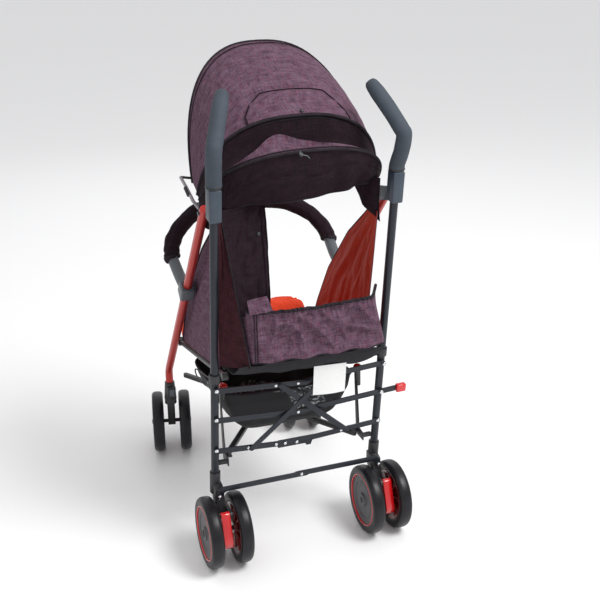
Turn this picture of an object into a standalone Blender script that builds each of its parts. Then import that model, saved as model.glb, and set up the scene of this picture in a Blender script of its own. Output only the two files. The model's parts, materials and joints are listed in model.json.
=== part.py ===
"""Umbrella-fold stroller: two side frames, a rear folding linkage, twin wheels, hood and seat.

Metres, +Z up. The front of the stroller faces -Y and its left side is +X. The origin is on the
floor, under the middle of the stroller's box.
"""
import math

import bmesh
import bpy
from mathutils import Matrix, Vector

# Clearances
CLEAR = 0.0003
RUNNING = 0.0005

# Side frames: a rear tube that leans back, in the plane x = TUBE_X
TUBE_X = 0.197
TUBE_RADIUS = 0.009
TUBE_BASE_Y = 0.234
TUBE_BASE_Z = 0.167
TUBE_LEAN = math.atan(0.121)
TUBE_BOTTOM = 0.040
TUBE_TOP = 0.657

# Handle bracket and grip
BRACKET_SIZE = (0.026, 0.034, 0.070)
EAR_THICK = 0.0075
EAR_RADIUS = 0.013
GRIP_RADIUS = 0.0165
GRIP_BEND = (0.006, 0.030, 0.080)
GRIP_TIP = (-0.040, -0.055, 0.175)

# Front legs, hinged at the handle bracket's ear
PIVOT_Y = 0.262
PIVOT_Z = 0.823
PIVOT_PIN = 0.004
LEG_TOP_X = 0.2035
LEG_RADIUS = 0.010
LEG_FOOT_X = 0.188
LEG_FOOT_Y = -0.236
LEG_BEND_Z = 0.250
LEG_END_Z = 0.2155

# Front casters
CASTER_TURN = math.radians(-12.0)
HOUSING_RADIUS = 0.0165
HOUSING_HEIGHT = 0.048
CASTER_TRAIL = 0.032
BUTTON_SIZE = (0.012, 0.004, 0.020)

# Wheels
WHEEL_RADIUS = 0.083
WHEEL_WIDTH = 0.030
WHEEL_STEPS = 20
AXLE_RADIUS = 0.005
FRONT_TRACK = 0.072
REAR_TRACK = 0.068
HUB_WIDTH = 0.020
REAR_WHEEL_X = 0.194
REAR_WHEEL_Y = 0.287
SLEEVE_RADIUS = 0.0125
SLEEVE_LENGTH = 0.055

# Brake pedals
BRAKE_WIDTH = 0.0205
BRAKE_EAR_THICK = 0.006
BRAKE_EYE = 0.008
BRAKE_PIVOT = (0.024, 0.052)

# Rear linkage of flat bars, in layers behind the tubes
BAR_THICK = 0.0025
BAR_WIDTH = 0.014
BAR_PIN = 0.003
RIVET_HEAD = 0.0016
BAR_SAG = 0.014
BAR_OVERRUN = 0.012
UPPER_HEIGHT = 0.264
MIDDLE_HEIGHT = 0.187
LOCK_HEIGHT = 0.105
FOOT_BAR_DROP = 0.004
FOOT_BAR_SETBACK = 0.030
FOOT_BAR_GAP = 0.0018
FOOT_BAR_DIP = 0.018
FOLD_TRAVEL = 0.120
CROSS_LOW_REACH = 0.081
PEDAL_REACH = 0.050
PEDAL_SIZE = (0.020, 0.008, 0.016)

# Collar that rides up the rear tube, and the seat side tube between it and the front leg
COLLAR_ABOVE_BAR = 0.009
COLLAR_HEIGHT = UPPER_HEIGHT + BAR_WIDTH / 2 + COLLAR_ABOVE_BAR
COLLAR_LENGTH = 0.020
COLLAR_RADIUS = 0.0125
SEAT_TUBE_X = 0.1745
SEAT_TUBE_RADIUS = 0.006
SEAT_FRONT_Z = 0.372

# Under-seat cross rails with their brackets, hangers and yokes
HANGER_X = 0.1663
HANGER_Y = 0.212
HANGER_TOP_Y = 0.193
HANGER_LOW_Z = 0.227
HANGER_TOP_Z = 0.384
RAIL_WIDTH = 0.012
RAIL_DEPTH = 0.010
RAIL_WALL = 0.002
RAIL_X = 0.157
RAIL_END = (-0.150, -0.205, 0.247)
HANGER_THICK = 0.0025
SPACER_RADIUS = 0.006
YOKE_THICK = 0.004
YOKE_LENGTH = 0.030

# Bumper bar
SOCKET_Z = 0.580
SOCKET_SIZE = (0.032, 0.034, 0.044)
ELBOW_RADIUS = 0.0135
ELBOW_TOP = (0.2005, -0.064, 0.624)
ELBOW_LEAVES = (0.0, -0.028, 0.006)
BUMPER_RADIUS = 0.0205
BUMPER_CENTRE = (0.0, -0.165, 0.714)
BUMPER_START = 0.010
BUMPER_BENDS = (
    (0.9476, 0.277, 0.333), (0.8080, 0.495, 0.667), (0.5736, 0.772, 0.911), (0.2743, 0.951, 0.989),
)

# Seat: sling, cushion, backrest and the band behind the head
FABRIC = 0.003
SEAT_FRONT_Y = -0.190
BACK_PIVOT_Y = 0.046
BACK_PIVOT_Z = 0.421
BACK_TIP_Y = 0.349
BACK_TIP_Z = 0.510
BACK_THICK = 0.020
BACK_ROD_RADIUS = 0.0062
BACK_HALF_WIDTH = 0.164
CUSHION_THICK = 0.030
CUSHION_HALF_WIDTH = 0.162
CUSHION_CHANNELS = 3
CUSHION_SINK = 0.0040
THIGH_RISE = 0.058
THIGH_SHARE = -0.19
THIGH_REACH = (0.085, 0.150)
BAND_HEIGHT = 0.118
BAND_THICK = 0.005
BAND_HALF_WIDTH = 0.1680
BAND_RETURN = 0.062

# Side walls and the strip beside the rear window
WALL_LOW_Y = (-0.112, 0.225)
WALL_REAR = (0.240, 0.520)
WALL_TOP_Y = (0.284, 0.242)
WALL_TOP_Z = 0.792
WALL_FRONT = ((0.122, 0.699), (0.000, 0.570), (-0.074, 0.458))
STRIP_WIDTH = 0.085

# Hood: bows hinged at one point each side, as angles up from the front
HOOD_X = 0.200
HOOD_Y = 0.190
HOOD_Z = 0.818
HOOD_SQUARE = 0.80
HOOD_THICK = 0.003
HOOD_FIRST = math.radians(7.0)
HOOD_PULL = 0.004
BOW_FRONT = (math.radians(59.6), 0.355)
BOW_SECOND = (math.radians(83.0), 0.262)
BOW_MIDDLE = (math.radians(113.3), 0.205)
BOW_REAR = (math.radians(139.6), 0.204)
BOW_THICK = 0.003
BOW_INSET = 0.0049
BOW_X = 0.1810
CURTAIN_DROP = 0.100
CURTAIN_TUCK = 0.045

# Basket
BASKET_TOP_Z = 0.374
BASKET_FRONT_TOP_Z = 0.346
BASKET_LOW_Z = 0.262
BASKET_BACK_Y = 0.215
BASKET_FRONT_Y = -0.085
BASKET_LOW_HALF = 0.118
BASKET_WALL = 0.004

PAINTS = {
    "rear_frame": ((0.045, 0.050, 0.062), 0.42, 0.6),
    "red_frame": ((0.450, 0.030, 0.025), 0.35, 0.5),
    "black_plastic": ((0.018, 0.018, 0.020), 0.50, 0.0),
    "grey_plastic": ((0.130, 0.150, 0.180), 0.50, 0.0),
    "grip_foam": ((0.085, 0.100, 0.120), 0.85, 0.0),
    "red_plastic": ((0.650, 0.020, 0.015), 0.30, 0.0),
    "tyre": ((0.025, 0.025, 0.027), 0.65, 0.0),
    "plum_fabric": ((0.075, 0.035, 0.048), 0.90, 0.0),
    "orange_fabric": ((0.750, 0.085, 0.025), 0.85, 0.0),
    "black_fabric": ((0.015, 0.015, 0.017), 0.90, 0.0),
    "steel": ((0.550, 0.560, 0.580), 0.30, 1.0),
}


def clear_scene():
    for obj in list(bpy.data.objects):
        bpy.data.objects.remove(obj)


def make_collection(name):
    collection = bpy.data.collections.new(name)
    bpy.context.scene.collection.children.link(collection)
    return collection


clear_scene()
PARTS = make_collection("stroller")
CUTTERS = make_collection("cutters")


def make_material(name):
    colour, roughness, metallic = PAINTS[name]
    material = bpy.data.materials.new(name)
    material.use_nodes = True
    shader = material.node_tree.nodes["Principled BSDF"]
    shader.inputs["Base Color"].default_value = (*colour, 1.0)
    shader.inputs["Roughness"].default_value = roughness
    shader.inputs["Metallic"].default_value = metallic
    return material


MATERIALS = {name: make_material(name) for name in PAINTS}


def add_empty(name, location, rotation=(0.0, 0.0, 0.0), parent=None):
    empty = bpy.data.objects.new(name, None)
    empty.empty_display_size = 0.02
    empty.location = location
    empty.rotation_euler = rotation
    empty.parent = parent
    PARTS.objects.link(empty)
    return empty


def add_part(name, mesh, paint, location=(0.0, 0.0, 0.0), rotation=(0.0, 0.0, 0.0), parent=None):
    """One named sub-part from a mesh or a curve."""
    obj = bpy.data.objects.new(name, mesh)
    obj.location = location
    obj.rotation_euler = rotation
    obj.parent = parent
    mesh.materials.clear()
    mesh.materials.append(MATERIALS[paint])
    PARTS.objects.link(obj)
    return obj


def add_cutter(target, mesh, operation):
    """Joins a shape to a part, or cuts it away, in the part's own axes."""
    tool = bpy.data.objects.new(target.name + "_tool", mesh)
    tool.parent = target
    tool.hide_render = True
    tool.display_type = "WIRE"
    CUTTERS.objects.link(tool)
    modifier = target.modifiers.new("shape", "BOOLEAN")
    modifier.operation = operation
    modifier.object = tool


def smooth(mesh, angle=math.radians(40.0)):
    mesh.shade_smooth()
    mesh.set_sharp_from_angle(angle=angle)


def add_bevel(obj, width, segments=2):
    modifier = obj.modifiers.new("edges", "BEVEL")
    modifier.width = width
    modifier.segments = segments
    modifier.limit_method = "ANGLE"


def mesh_from(build, name):
    """A mesh made by a function that fills a bmesh."""
    mesh = bpy.data.meshes.new(name)
    bm = bmesh.new()
    build(bm)
    bm.to_mesh(mesh)
    bm.free()
    return mesh


def box_mesh(size, centre=(0.0, 0.0, 0.0)):
    place = Matrix.Translation(centre) @ Matrix.Diagonal((*size, 1.0))
    return mesh_from(lambda bm: bmesh.ops.create_cube(bm, size=1.0, matrix=place), "box")


def rod_mesh(start, end, radius, end_radius=None, sides=12):
    """A straight round bar between two points."""
    start = Vector(start)
    end = Vector(end)
    along = end - start
    turn = along.to_track_quat("Z", "Y").to_matrix().to_4x4()
    place = Matrix.Translation((start + end) / 2) @ turn

    def build(bm):
        bmesh.ops.create_cone(
            bm, cap_ends=True, segments=sides, radius1=radius,
            radius2=radius if end_radius is None else end_radius,
            depth=along.length, matrix=place)

    mesh = mesh_from(build, "rod")
    smooth(mesh)
    return mesh


def curve_data(splines, dimensions="3D", closed=False):
    curve = bpy.data.curves.new("route", "CURVE")
    curve.dimensions = dimensions
    for points in splines:
        spline = curve.splines.new("POLY")
        spline.points.add(len(points) - 1)
        for point, place in zip(spline.points, points):
            point.co = (*place, 1.0) if len(place) == 3 else (*place, 0.0, 1.0)
        spline.use_cyclic_u = closed
    return curve


def curve_to_mesh(curve):
    """The welded mesh of a curve, which a Boolean can then join or cut."""
    holder = bpy.data.objects.new("holder", curve)
    PARTS.objects.link(holder)
    bpy.context.view_layer.update()
    graph = bpy.context.evaluated_depsgraph_get()
    mesh = bpy.data.meshes.new_from_object(holder.evaluated_get(graph))
    bm = bmesh.new()
    bm.from_mesh(mesh)
    bmesh.ops.remove_doubles(bm, verts=bm.verts, dist=1e-6)
    bmesh.ops.recalc_face_normals(bm, faces=bm.faces)
    bm.to_mesh(mesh)
    bm.free()
    bpy.data.objects.remove(holder)
    return mesh


def tube_mesh(points, radius, resolution=4):
    """A bent round tube through the points, with 4 + 2 * resolution sides."""
    curve = curve_data([points])
    curve.bevel_depth = radius
    curve.bevel_resolution = resolution
    curve.use_fill_caps = True
    mesh = curve_to_mesh(curve)
    smooth(mesh)
    return mesh


def plate_mesh(outline, thickness, holes=()):
    """A flat plate in the XY plane, centred on z = 0, with round holes (x, y, radius)."""
    curve = curve_data([outline] + [circle(*hole) for hole in holes], "2D", closed=True)
    curve.fill_mode = "BOTH"
    curve.extrude = thickness / 2
    return curve_to_mesh(curve)


def circle(x, y, radius, steps=12):
    angles = [2 * math.pi * step / steps for step in range(steps)]
    return [(x + radius * math.cos(angle), y + radius * math.sin(angle)) for angle in angles]


def arc(x, y, radius, start, end, steps=6):
    angles = [math.radians(start + (end - start) * step / steps) for step in range(steps + 1)]
    return [(x + radius * math.cos(angle), y + radius * math.sin(angle)) for angle in angles]


def stadium(start, end, width):
    """A bar's outline along X with round ends."""
    return arc(end, 0.0, width / 2, -90, 90) + arc(start, 0.0, width / 2, 90, 270)


def rounded(points, radius, steps=4):
    """A route whose inner corners are rounded off."""
    route = [Vector(points[0])]
    for before, corner, after in zip(points, points[1:], points[2:]):
        corner = Vector(corner)
        back = (Vector(before) - corner)
        ahead = (Vector(after) - corner)
        reach = min(radius, back.length * 0.45, ahead.length * 0.45)
        first = corner + back.normalized() * reach
        last = corner + ahead.normalized() * reach
        for step in range(steps + 1):
            t = step / steps
            route.append(first * (1 - t) ** 2 + corner * 2 * t * (1 - t) + last * t ** 2)
    route.append(Vector(points[-1]))
    return route


def smooth_route(points, steps=4):
    """A smooth curve through the points, as a list of closer points."""
    knots = [Vector(point) for point in points]
    route = []
    for index in range(len(knots) - 1):
        before = knots[max(index - 1, 0)]
        first = knots[index]
        last = knots[index + 1]
        after = knots[min(index + 2, len(knots) - 1)]
        for step in range(steps):
            t = step / steps
            route.append(0.5 * (2 * first + (last - before) * t
                                + (2 * before - 5 * first + 4 * last - after) * t ** 2
                                + (3 * first - before - 3 * last + after) * t ** 3))
    route.append(knots[-1])
    return route


def turn_plate(mesh, plane):
    """Stands a plate drawn in XY up in the plane YZ or XZ."""
    turns = {
        "YZ": Matrix(((0, 0, 1, 0), (1, 0, 0, 0), (0, 1, 0, 0), (0, 0, 0, 1))),
        "XZ": Matrix(((1, 0, 0, 0), (0, 0, -1, 0), (0, 1, 0, 0), (0, 0, 0, 1))),
    }
    mesh.transform(turns[plane])
    return mesh


def moved(mesh, offset):
    mesh.transform(Matrix.Translation(offset))
    return mesh


def sheet_mesh(surface, columns, rows):
    """An open sheet of quads from surface(u, v), with u and v from 0 to 1."""
    def build(bm):
        grid = [[bm.verts.new(surface(column / columns, row / rows)) for column in range(columns + 1)]
                for row in range(rows + 1)]
        for row in range(rows):
            for column in range(columns):
                bm.faces.new((grid[row][column], grid[row][column + 1],
                              grid[row + 1][column + 1], grid[row + 1][column]))

    mesh = mesh_from(build, "sheet")
    smooth(mesh, math.radians(60.0))
    return mesh


def add_sheet(name, surface, columns, rows, paint, thickness, **place):
    obj = add_part(name, sheet_mesh(surface, columns, rows), paint, **place)
    solid = obj.modifiers.new("thickness", "SOLIDIFY")
    solid.thickness = thickness
    solid.offset = 0.0
    return obj


def pillow_mesh(width, length, thickness, channels, columns=14, rows=18):
    """A closed pad with a crowned top, drawn-in sides and sewn channels across it."""
    def swell(u, v):
        edge = max(0.0, (1 - abs(2 * u - 1) ** 6) * (1 - abs(2 * v - 1) ** 6)) ** 0.5
        groove = 1.0
        for channel in range(1, channels):
            distance = (v - channel / channels) * length
            groove -= 0.45 * math.exp(-(distance / 0.007) ** 2)
        return edge * groove

    def build(bm):
        def layer(sign):
            grid = {}
            for row in range(rows + 1):
                for column in range(columns + 1):
                    u = column / columns
                    v = row / rows
                    inner = 0 < row < rows and 0 < column < columns
                    if sign < 0 and not inner:
                        continue
                    drawn_x = 1 - 0.035 * (1 - abs(2 * v - 1) ** 2) * abs(2 * u - 1)
                    drawn_y = 1 - 0.035 * (1 - abs(2 * u - 1) ** 2) * abs(2 * v - 1)
                    height = swell(u, v) * (0.62 * thickness if sign > 0 else 0.38 * thickness)
                    flat = min(height, 0.34 * thickness) if sign < 0 else height
                    grid[row, column] = bm.verts.new((
                        (u - 0.5) * width * drawn_x, (v - 0.5) * length * drawn_y, sign * flat))
            return grid

        top = layer(1)
        bottom = {**top, **layer(-1)}
        for row in range(rows):
            for column in range(columns):
                corners = [(row, column), (row, column + 1), (row + 1, column + 1), (row + 1, column)]
                if (row == 0) != (column == 0) and (row in (0, rows - 1)) and (column in (0, columns - 1)):
                    corners = corners[1:] + corners[:1]
                for face in (corners[:3], corners[2:] + corners[:1]):
                    bm.faces.new([top[corner] for corner in face])
                    bm.faces.new([bottom[corner] for corner in reversed(face)])

    mesh = mesh_from(build, "pillow")
    smooth(mesh, math.radians(70.0))
    return mesh


def side_name(name, side):
    return name + ("_left" if side > 0 else "_right")


# The rear frame's own axes: X across, Y behind the tubes, Z up along them
REAR = add_empty("rear_frame_axes", (0.0, TUBE_BASE_Y, TUBE_BASE_Z), (-TUBE_LEAN, 0.0, 0.0))
REAR_MATRIX = Matrix.Translation((0.0, TUBE_BASE_Y, TUBE_BASE_Z)) @ Matrix.Rotation(-TUBE_LEAN, 4, "X")


def on_tube(height, behind=0.0):
    """World (y, z) of a point at a height along the rear tube."""
    y = TUBE_BASE_Y + height * math.sin(TUBE_LEAN) + behind * math.cos(TUBE_LEAN)
    z = TUBE_BASE_Z + height * math.cos(TUBE_LEAN) - behind * math.sin(TUBE_LEAN)
    return y, z


def layer_behind(layer):
    """How far the middle of a bar's layer lies behind the tube's axis."""
    return TUBE_RADIUS + CLEAR + BAR_THICK / 2 + layer * (BAR_THICK + CLEAR)


def bar_layer(side):
    return 1 if side > 0 else 0


def headed_pin_meshes(x, start, shank, height):
    """A pin along the rear frame's Y from start to shank, and the rivet head beyond it."""
    pin = rod_mesh((x, start, height), (x, shank + RIVET_HEAD, height), BAR_PIN)
    head = rod_mesh((x, shank, height), (x, shank + RIVET_HEAD, height), 1.7 * BAR_PIN, 1.2 * BAR_PIN)
    return pin, head


def pivot_pin_meshes(x, height, layers):
    """A headed pin that stands behind a tube through the layers of bars on it."""
    return headed_pin_meshes(x, 0.0, layer_behind(layers - 1) + BAR_THICK / 2 + CLEAR, height)


def build_rear_tube(side):
    x = side * TUBE_X
    tube = add_part(
        side_name("rear_tube", side),
        rod_mesh((x, 0.0, TUBE_BOTTOM), (x, 0.0, TUBE_TOP), TUBE_RADIUS, sides=16),
        "rear_frame", parent=REAR)
    for height in (UPPER_HEIGHT, MIDDLE_HEIGHT, LOCK_HEIGHT):
        for mesh in pivot_pin_meshes(x, height, bar_layer(side) + 1):
            add_cutter(tube, mesh, "UNION")


def ear_inner_x():
    """How far out the inner face of the bracket's forward ear stands."""
    return LEG_TOP_X - LEG_RADIUS - CLEAR - EAR_THICK


def build_handle_bracket(side):
    """The block that joins the rear tube, the grip and the front leg, with the hood's clip."""
    x = side * TUBE_X
    base = TUBE_TOP + CLEAR
    width, depth, height = BRACKET_SIZE
    bracket = add_part(side_name("handle_bracket", side),
                       box_mesh(BRACKET_SIZE, (x, 0.0, base + height / 2)), "grey_plastic", parent=REAR)
    add_bevel(bracket, 0.004)
    ear_x = side * (ear_inner_x() + EAR_THICK / 2)
    inverse = REAR_MATRIX.inverted()
    pivot = inverse @ Vector((ear_x, PIVOT_Y, PIVOT_Z))
    clip = inverse @ Vector((ear_x, HOOD_Y, HOOD_Z))
    low = base + 0.006
    outline = (arc(clip.y, clip.z, 0.009, 90, 270) + arc(pivot.y, pivot.z, EAR_RADIUS, 225, 300)
               + [(depth / 4, low), (depth / 4, low + 0.030)])
    ear = moved(turn_plate(plate_mesh(outline, EAR_THICK), "YZ"), (ear_x, 0.0, 0.0))
    add_cutter(bracket, ear, "UNION")
    reach = side * (LEG_TOP_X + LEG_RADIUS + 0.003)
    start = Vector((ear_x, pivot.y, pivot.z))
    pin = rod_mesh(start, (reach, pivot.y, pivot.z), PIVOT_PIN)
    add_cutter(bracket, pin, "UNION")


def build_grip(side):
    """A foam-covered handle that rises, leans back and then turns forward and inward."""
    base = TUBE_TOP + BRACKET_SIZE[2] + 2 * CLEAR
    y, z = on_tube(base)
    start = Vector((side * TUBE_X, y, z))
    bend = start + Vector((side * GRIP_BEND[0], GRIP_BEND[1], GRIP_BEND[2]))
    tip = start + Vector((side * GRIP_TIP[0], GRIP_TIP[1], GRIP_TIP[2]))
    rise = start + Vector((0.0, math.sin(TUBE_LEAN), math.cos(TUBE_LEAN))) * 0.012
    route = [start, rise] + rounded([rise, bend, tip], 0.045, 6)[1:]
    grip = add_part(side_name("handle_grip", side), tube_mesh(route, GRIP_RADIUS), "grip_foam")
    add_bevel(grip, 0.004)


def wheel_mesh(bore):
    """A wheel's closed section, which turns about Z: tyre, dished face, recessed back and bore."""
    radius = WHEEL_RADIUS
    half = WHEEL_WIDTH / 2
    section = [
        (radius, 0.45 * half), (radius, -0.45 * half), (0.94 * radius, -half),
        (0.73 * radius, -half), (0.70 * radius, -0.72 * half), (0.18 * radius, -0.72 * half),
        (0.18 * radius, -half), (bore, -half), (bore, half), (0.18 * radius, half),
        (0.20 * radius, 0.32 * half), (0.66 * radius, 0.32 * half), (0.72 * radius, half),
        (0.94 * radius, half),
    ]
    mesh = bpy.data.meshes.new("wheel_section")
    edges = [(index, (index + 1) % len(section)) for index in range(len(section))]
    mesh.from_pydata([(r, 0.0, h) for r, h in section], edges, [])
    return mesh


def add_wheel(name, face, parent, offset):
    """A wheel on an axle; its plain face looks along face * X."""
    wheel = add_part(name, wheel_mesh(AXLE_RADIUS + CLEAR), "tyre", (offset, 0.0, 0.0), parent=parent)
    wheel.rotation_mode = "QUATERNION"
    spin = Matrix.Rotation(math.pi / WHEEL_STEPS, 4, "X")
    wheel.rotation_quaternion = (spin @ Matrix.Rotation(-face * math.pi / 2, 4, "Y")).to_quaternion()
    screw = wheel.modifiers.new("turned", "SCREW")
    screw.angle = 2 * math.pi
    screw.steps = WHEEL_STEPS
    screw.render_steps = WHEEL_STEPS
    screw.use_merge_vertices = True
    screw.merge_threshold = 0.00001
    screw.use_smooth_shade = True
    return wheel


WHEEL_Z = WHEEL_RADIUS * math.cos(math.pi / WHEEL_STEPS)


def add_axle(target, centre, track):
    """The axle through a hub, long enough for the two wheels."""
    half = track / 2 + WHEEL_WIDTH / 2 + 0.002
    axle = rod_mesh((centre[0] - half, centre[1], centre[2]), (centre[0] + half, centre[1], centre[2]),
                    AXLE_RADIUS)
    add_cutter(target, axle, "UNION")


def brake_pivot():
    return REAR_WHEEL_Y + BRAKE_PIVOT[0], WHEEL_Z + BRAKE_PIVOT[1]


def brake_ear_meshes(side):
    """The ear on the foot's inner face, and the pin in it that carries the brake pedal."""
    y, z = brake_pivot()
    x = side * (REAR_WHEEL_X - HUB_WIDTH / 2)
    root_y = REAR_WHEEL_Y - 0.012
    outline = arc(y, z, BRAKE_EYE, -60, 120) + [(root_y, z + 0.004), (root_y, z - 0.030)]
    ear = moved(turn_plate(plate_mesh(outline, BRAKE_EAR_THICK), "YZ"), (x, 0.0, 0.0))
    end = x + side * (BRAKE_EAR_THICK / 2 + 2 * CLEAR + BRAKE_WIDTH + 0.002)
    return ear, rod_mesh((x, y, z), (end, y, z), BAR_PIN)


def build_wheel_foot(side):
    """The sleeve under the rear tube that carries the rear hub, the axle and the brake."""
    x = side * REAR_WHEEL_X
    low = TUBE_BOTTOM - CLEAR
    sleeve = rod_mesh((side * TUBE_X, 0.0, low - SLEEVE_LENGTH), (side * TUBE_X, 0.0, low), SLEEVE_RADIUS)
    sleeve.transform(REAR_MATRIX)
    top_y, top_z = on_tube(low - 0.030)
    bar_y, bar_z = on_tube(-FOOT_BAR_DROP)
    back_y = bar_y + FOOT_BAR_SETBACK - CLEAR
    outline = ([(top_y - 0.010, top_z), (top_y - 0.010, bar_z - 0.012)]
               + arc(REAR_WHEEL_Y, WHEEL_Z, 0.013, 200, 380)
               + [(back_y, bar_z - 0.012), (back_y, bar_z + 0.008), (top_y + 0.010, top_z)])
    plate = moved(turn_plate(plate_mesh(outline, HUB_WIDTH), "YZ"), (x, 0.0, 0.0))
    foot = add_part(side_name("wheel_foot", side), plate, "black_plastic")
    add_cutter(foot, sleeve, "UNION")
    shank = foot_layer_behind(side) + BAR_THICK / 2 + CLEAR
    for mesh in headed_pin_meshes(side * TUBE_X, FOOT_BAR_SETBACK - 0.010, shank, -FOOT_BAR_DROP):
        mesh.transform(REAR_MATRIX)
        add_cutter(foot, mesh, "UNION")
    for mesh in brake_ear_meshes(side):
        add_cutter(foot, mesh, "UNION")
    add_axle(foot, (x, REAR_WHEEL_Y, WHEEL_Z), REAR_TRACK)
    axle_centre = add_empty(side_name("rear_axle_centre", side), (x, REAR_WHEEL_Y, WHEEL_Z))
    for place, face in (("outer", side), ("inner", -side)):
        add_wheel("rear_wheel_%s_%s" % (place, "left" if side > 0 else "right"), face,
                  axle_centre, face * REAR_TRACK / 2)


def leg_point(z, side):
    """The front leg's centre line above its bend."""
    share = (z - LEG_BEND_Z) / (PIVOT_Z - LEG_BEND_Z)
    return Vector((side * (LEG_FOOT_X + (LEG_TOP_X - LEG_FOOT_X) * share),
                   LEG_FOOT_Y + (PIVOT_Y - LEG_FOOT_Y) * share, z))


def leg_direction(side):
    return (leg_point(PIVOT_Z, side) - leg_point(LEG_BEND_Z, side)).normalized()


def build_front_leg(side):
    """The painted leg from its pivot down to the caster housing."""
    along = leg_direction(side)
    top = leg_point(PIVOT_Z, side) + along * 0.014
    foot = Vector((side * LEG_FOOT_X, LEG_FOOT_Y, LEG_END_Z))
    pivot = add_empty(side_name("front_leg_axis", side), (0.0, PIVOT_Y, PIVOT_Z))
    route = rounded([top, leg_point(LEG_BEND_Z, side), foot], 0.030)
    mesh = moved(tube_mesh(route, LEG_RADIUS), (0.0, -PIVOT_Y, -PIVOT_Z))
    leg = add_part(side_name("front_leg", side), mesh, "red_frame", parent=pivot)
    reach = LEG_RADIUS + 0.004
    x = side * LEG_TOP_X
    bore = rod_mesh((x - reach, 0.0, 0.0), (x + reach, 0.0, 0.0), PIVOT_PIN + CLEAR)
    add_cutter(leg, bore, "DIFFERENCE")
    return pivot


def build_caster_housing(side, leg_axis):
    x = side * LEG_FOOT_X
    top = LEG_END_Z - CLEAR
    housing = rod_mesh((x, LEG_FOOT_Y, top - HOUSING_HEIGHT), (x, LEG_FOOT_Y, top), HOUSING_RADIUS,
                       0.78 * HOUSING_RADIUS, 20)
    shift = (0.0, -PIVOT_Y, -PIVOT_Z)
    part = add_part(side_name("caster_housing", side), moved(housing, shift), "black_plastic",
                    parent=leg_axis)
    middle = top - HOUSING_HEIGHT / 2
    face = LEG_FOOT_Y + HOUSING_RADIUS
    width, travel, height = BUTTON_SIZE
    boss = box_mesh((width + 0.010, 0.014, height + 0.010), (x, face - 0.003, middle))
    add_cutter(part, moved(boss, shift), "UNION")
    slot_depth = 2 * travel
    slot_back = face + 0.004 - slot_depth
    slot = box_mesh((width + 2 * CLEAR, 2 * slot_depth, height + 2 * CLEAR),
                    (x, slot_back + slot_depth, middle))
    add_cutter(part, moved(slot, shift), "DIFFERENCE")
    length = slot_depth - travel / 2 + 0.002
    button = box_mesh((width, length, height), (x, slot_back + travel / 2 + CLEAR + length / 2, middle))
    add_part(side_name("swivel_button", side), moved(button, shift), "grey_plastic", parent=leg_axis)


def build_caster(side):
    """The fork that swivels under the housing, with its axle and two wheels."""
    top = LEG_END_Z - HOUSING_HEIGHT - 2 * CLEAR
    axis = add_empty(side_name("caster_axis", side), (side * LEG_FOOT_X, LEG_FOOT_Y, 0.0),
                     (0.0, 0.0, CASTER_TURN))
    neck = rod_mesh((0.0, 0.0, top - 0.014), (0.0, 0.0, top), 0.95 * HOUSING_RADIUS, sides=20)
    outline = (arc(-CASTER_TRAIL, WHEEL_Z, 0.012, 180, 360)
               + [(0.014, top - 0.030), (0.014, top - 0.008)]
               + [(-0.014, top - 0.008), (-0.030, top - 0.034)])
    arm = turn_plate(plate_mesh(outline, HUB_WIDTH), "YZ")
    fork = add_part(side_name("caster_fork", side), neck, "black_plastic", parent=axis)
    add_cutter(fork, arm, "UNION")
    add_axle(fork, (0.0, -CASTER_TRAIL, WHEEL_Z), FRONT_TRACK)
    hub = add_empty(side_name("front_axle_centre", side), (0.0, -CASTER_TRAIL, WHEEL_Z), parent=axis)
    for place, face in (("outer", side), ("inner", -side)):
        add_wheel("front_wheel_%s_%s" % (place, "left" if side > 0 else "right"), face,
                  hub, face * FRONT_TRACK / 2)


def build_brake(side):
    """The brake pedal behind the foot, hinged on the ear's pin and pressed down with a shoe."""
    y, z = brake_pivot()
    x = side * (REAR_WHEEL_X - HUB_WIDTH / 2 + BRAKE_EAR_THICK / 2 + CLEAR + BRAKE_WIDTH / 2)
    axis = add_empty(side_name("brake_axis", side), (x, y, z))
    outline = (arc(0.0, 0.0, BRAKE_EYE, 0, 180) + [(-BRAKE_EYE, -0.004), (0.004, -0.034), (0.014, -0.066),
                                                   (0.026, -0.070), (0.030, -0.058), (0.020, -0.030)])
    mesh = turn_plate(plate_mesh(outline, BRAKE_WIDTH, [(0.0, 0.0, BAR_PIN + CLEAR)]), "YZ")
    add_part(side_name("brake_pedal", side), mesh, "red_plastic", parent=axis)


def bar_angles():
    """The bars' sag at rest and their rise when the sides are folded in."""
    length = math.hypot(TUBE_X, BAR_SAG)
    rest = -math.atan2(BAR_SAG, TUBE_X)
    folded = math.acos((TUBE_X - FOLD_TRAVEL) / length)
    return length, rest, folded


def cross_high_reach():
    """Where the cross bar meets the upper bar, so that both its ends line up at rest and folded."""
    length, rest, folded = bar_angles()
    spread = math.sin(rest) + math.sin(folded)
    rise = UPPER_HEIGHT - LOCK_HEIGHT
    low = CROSS_LOW_REACH
    return ((2 * length * (length - low) * spread + rise * low) / (2 * (length - low) * spread + rise))


def bar_point(side, height, reach):
    """A point along a sagging bar in the rear frame's axes (x, up the tube)."""
    rest = bar_angles()[1]
    return side * (TUBE_X - reach * math.cos(rest)), height + reach * math.sin(rest)


def point_inward(mesh, side):
    """Turns a bar drawn along +X to point from its own side toward the middle."""
    mesh.transform(Matrix.Diagonal((-side, 1.0, 1.0, 1.0)))
    if side > 0:
        mesh.flip_normals()


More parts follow.
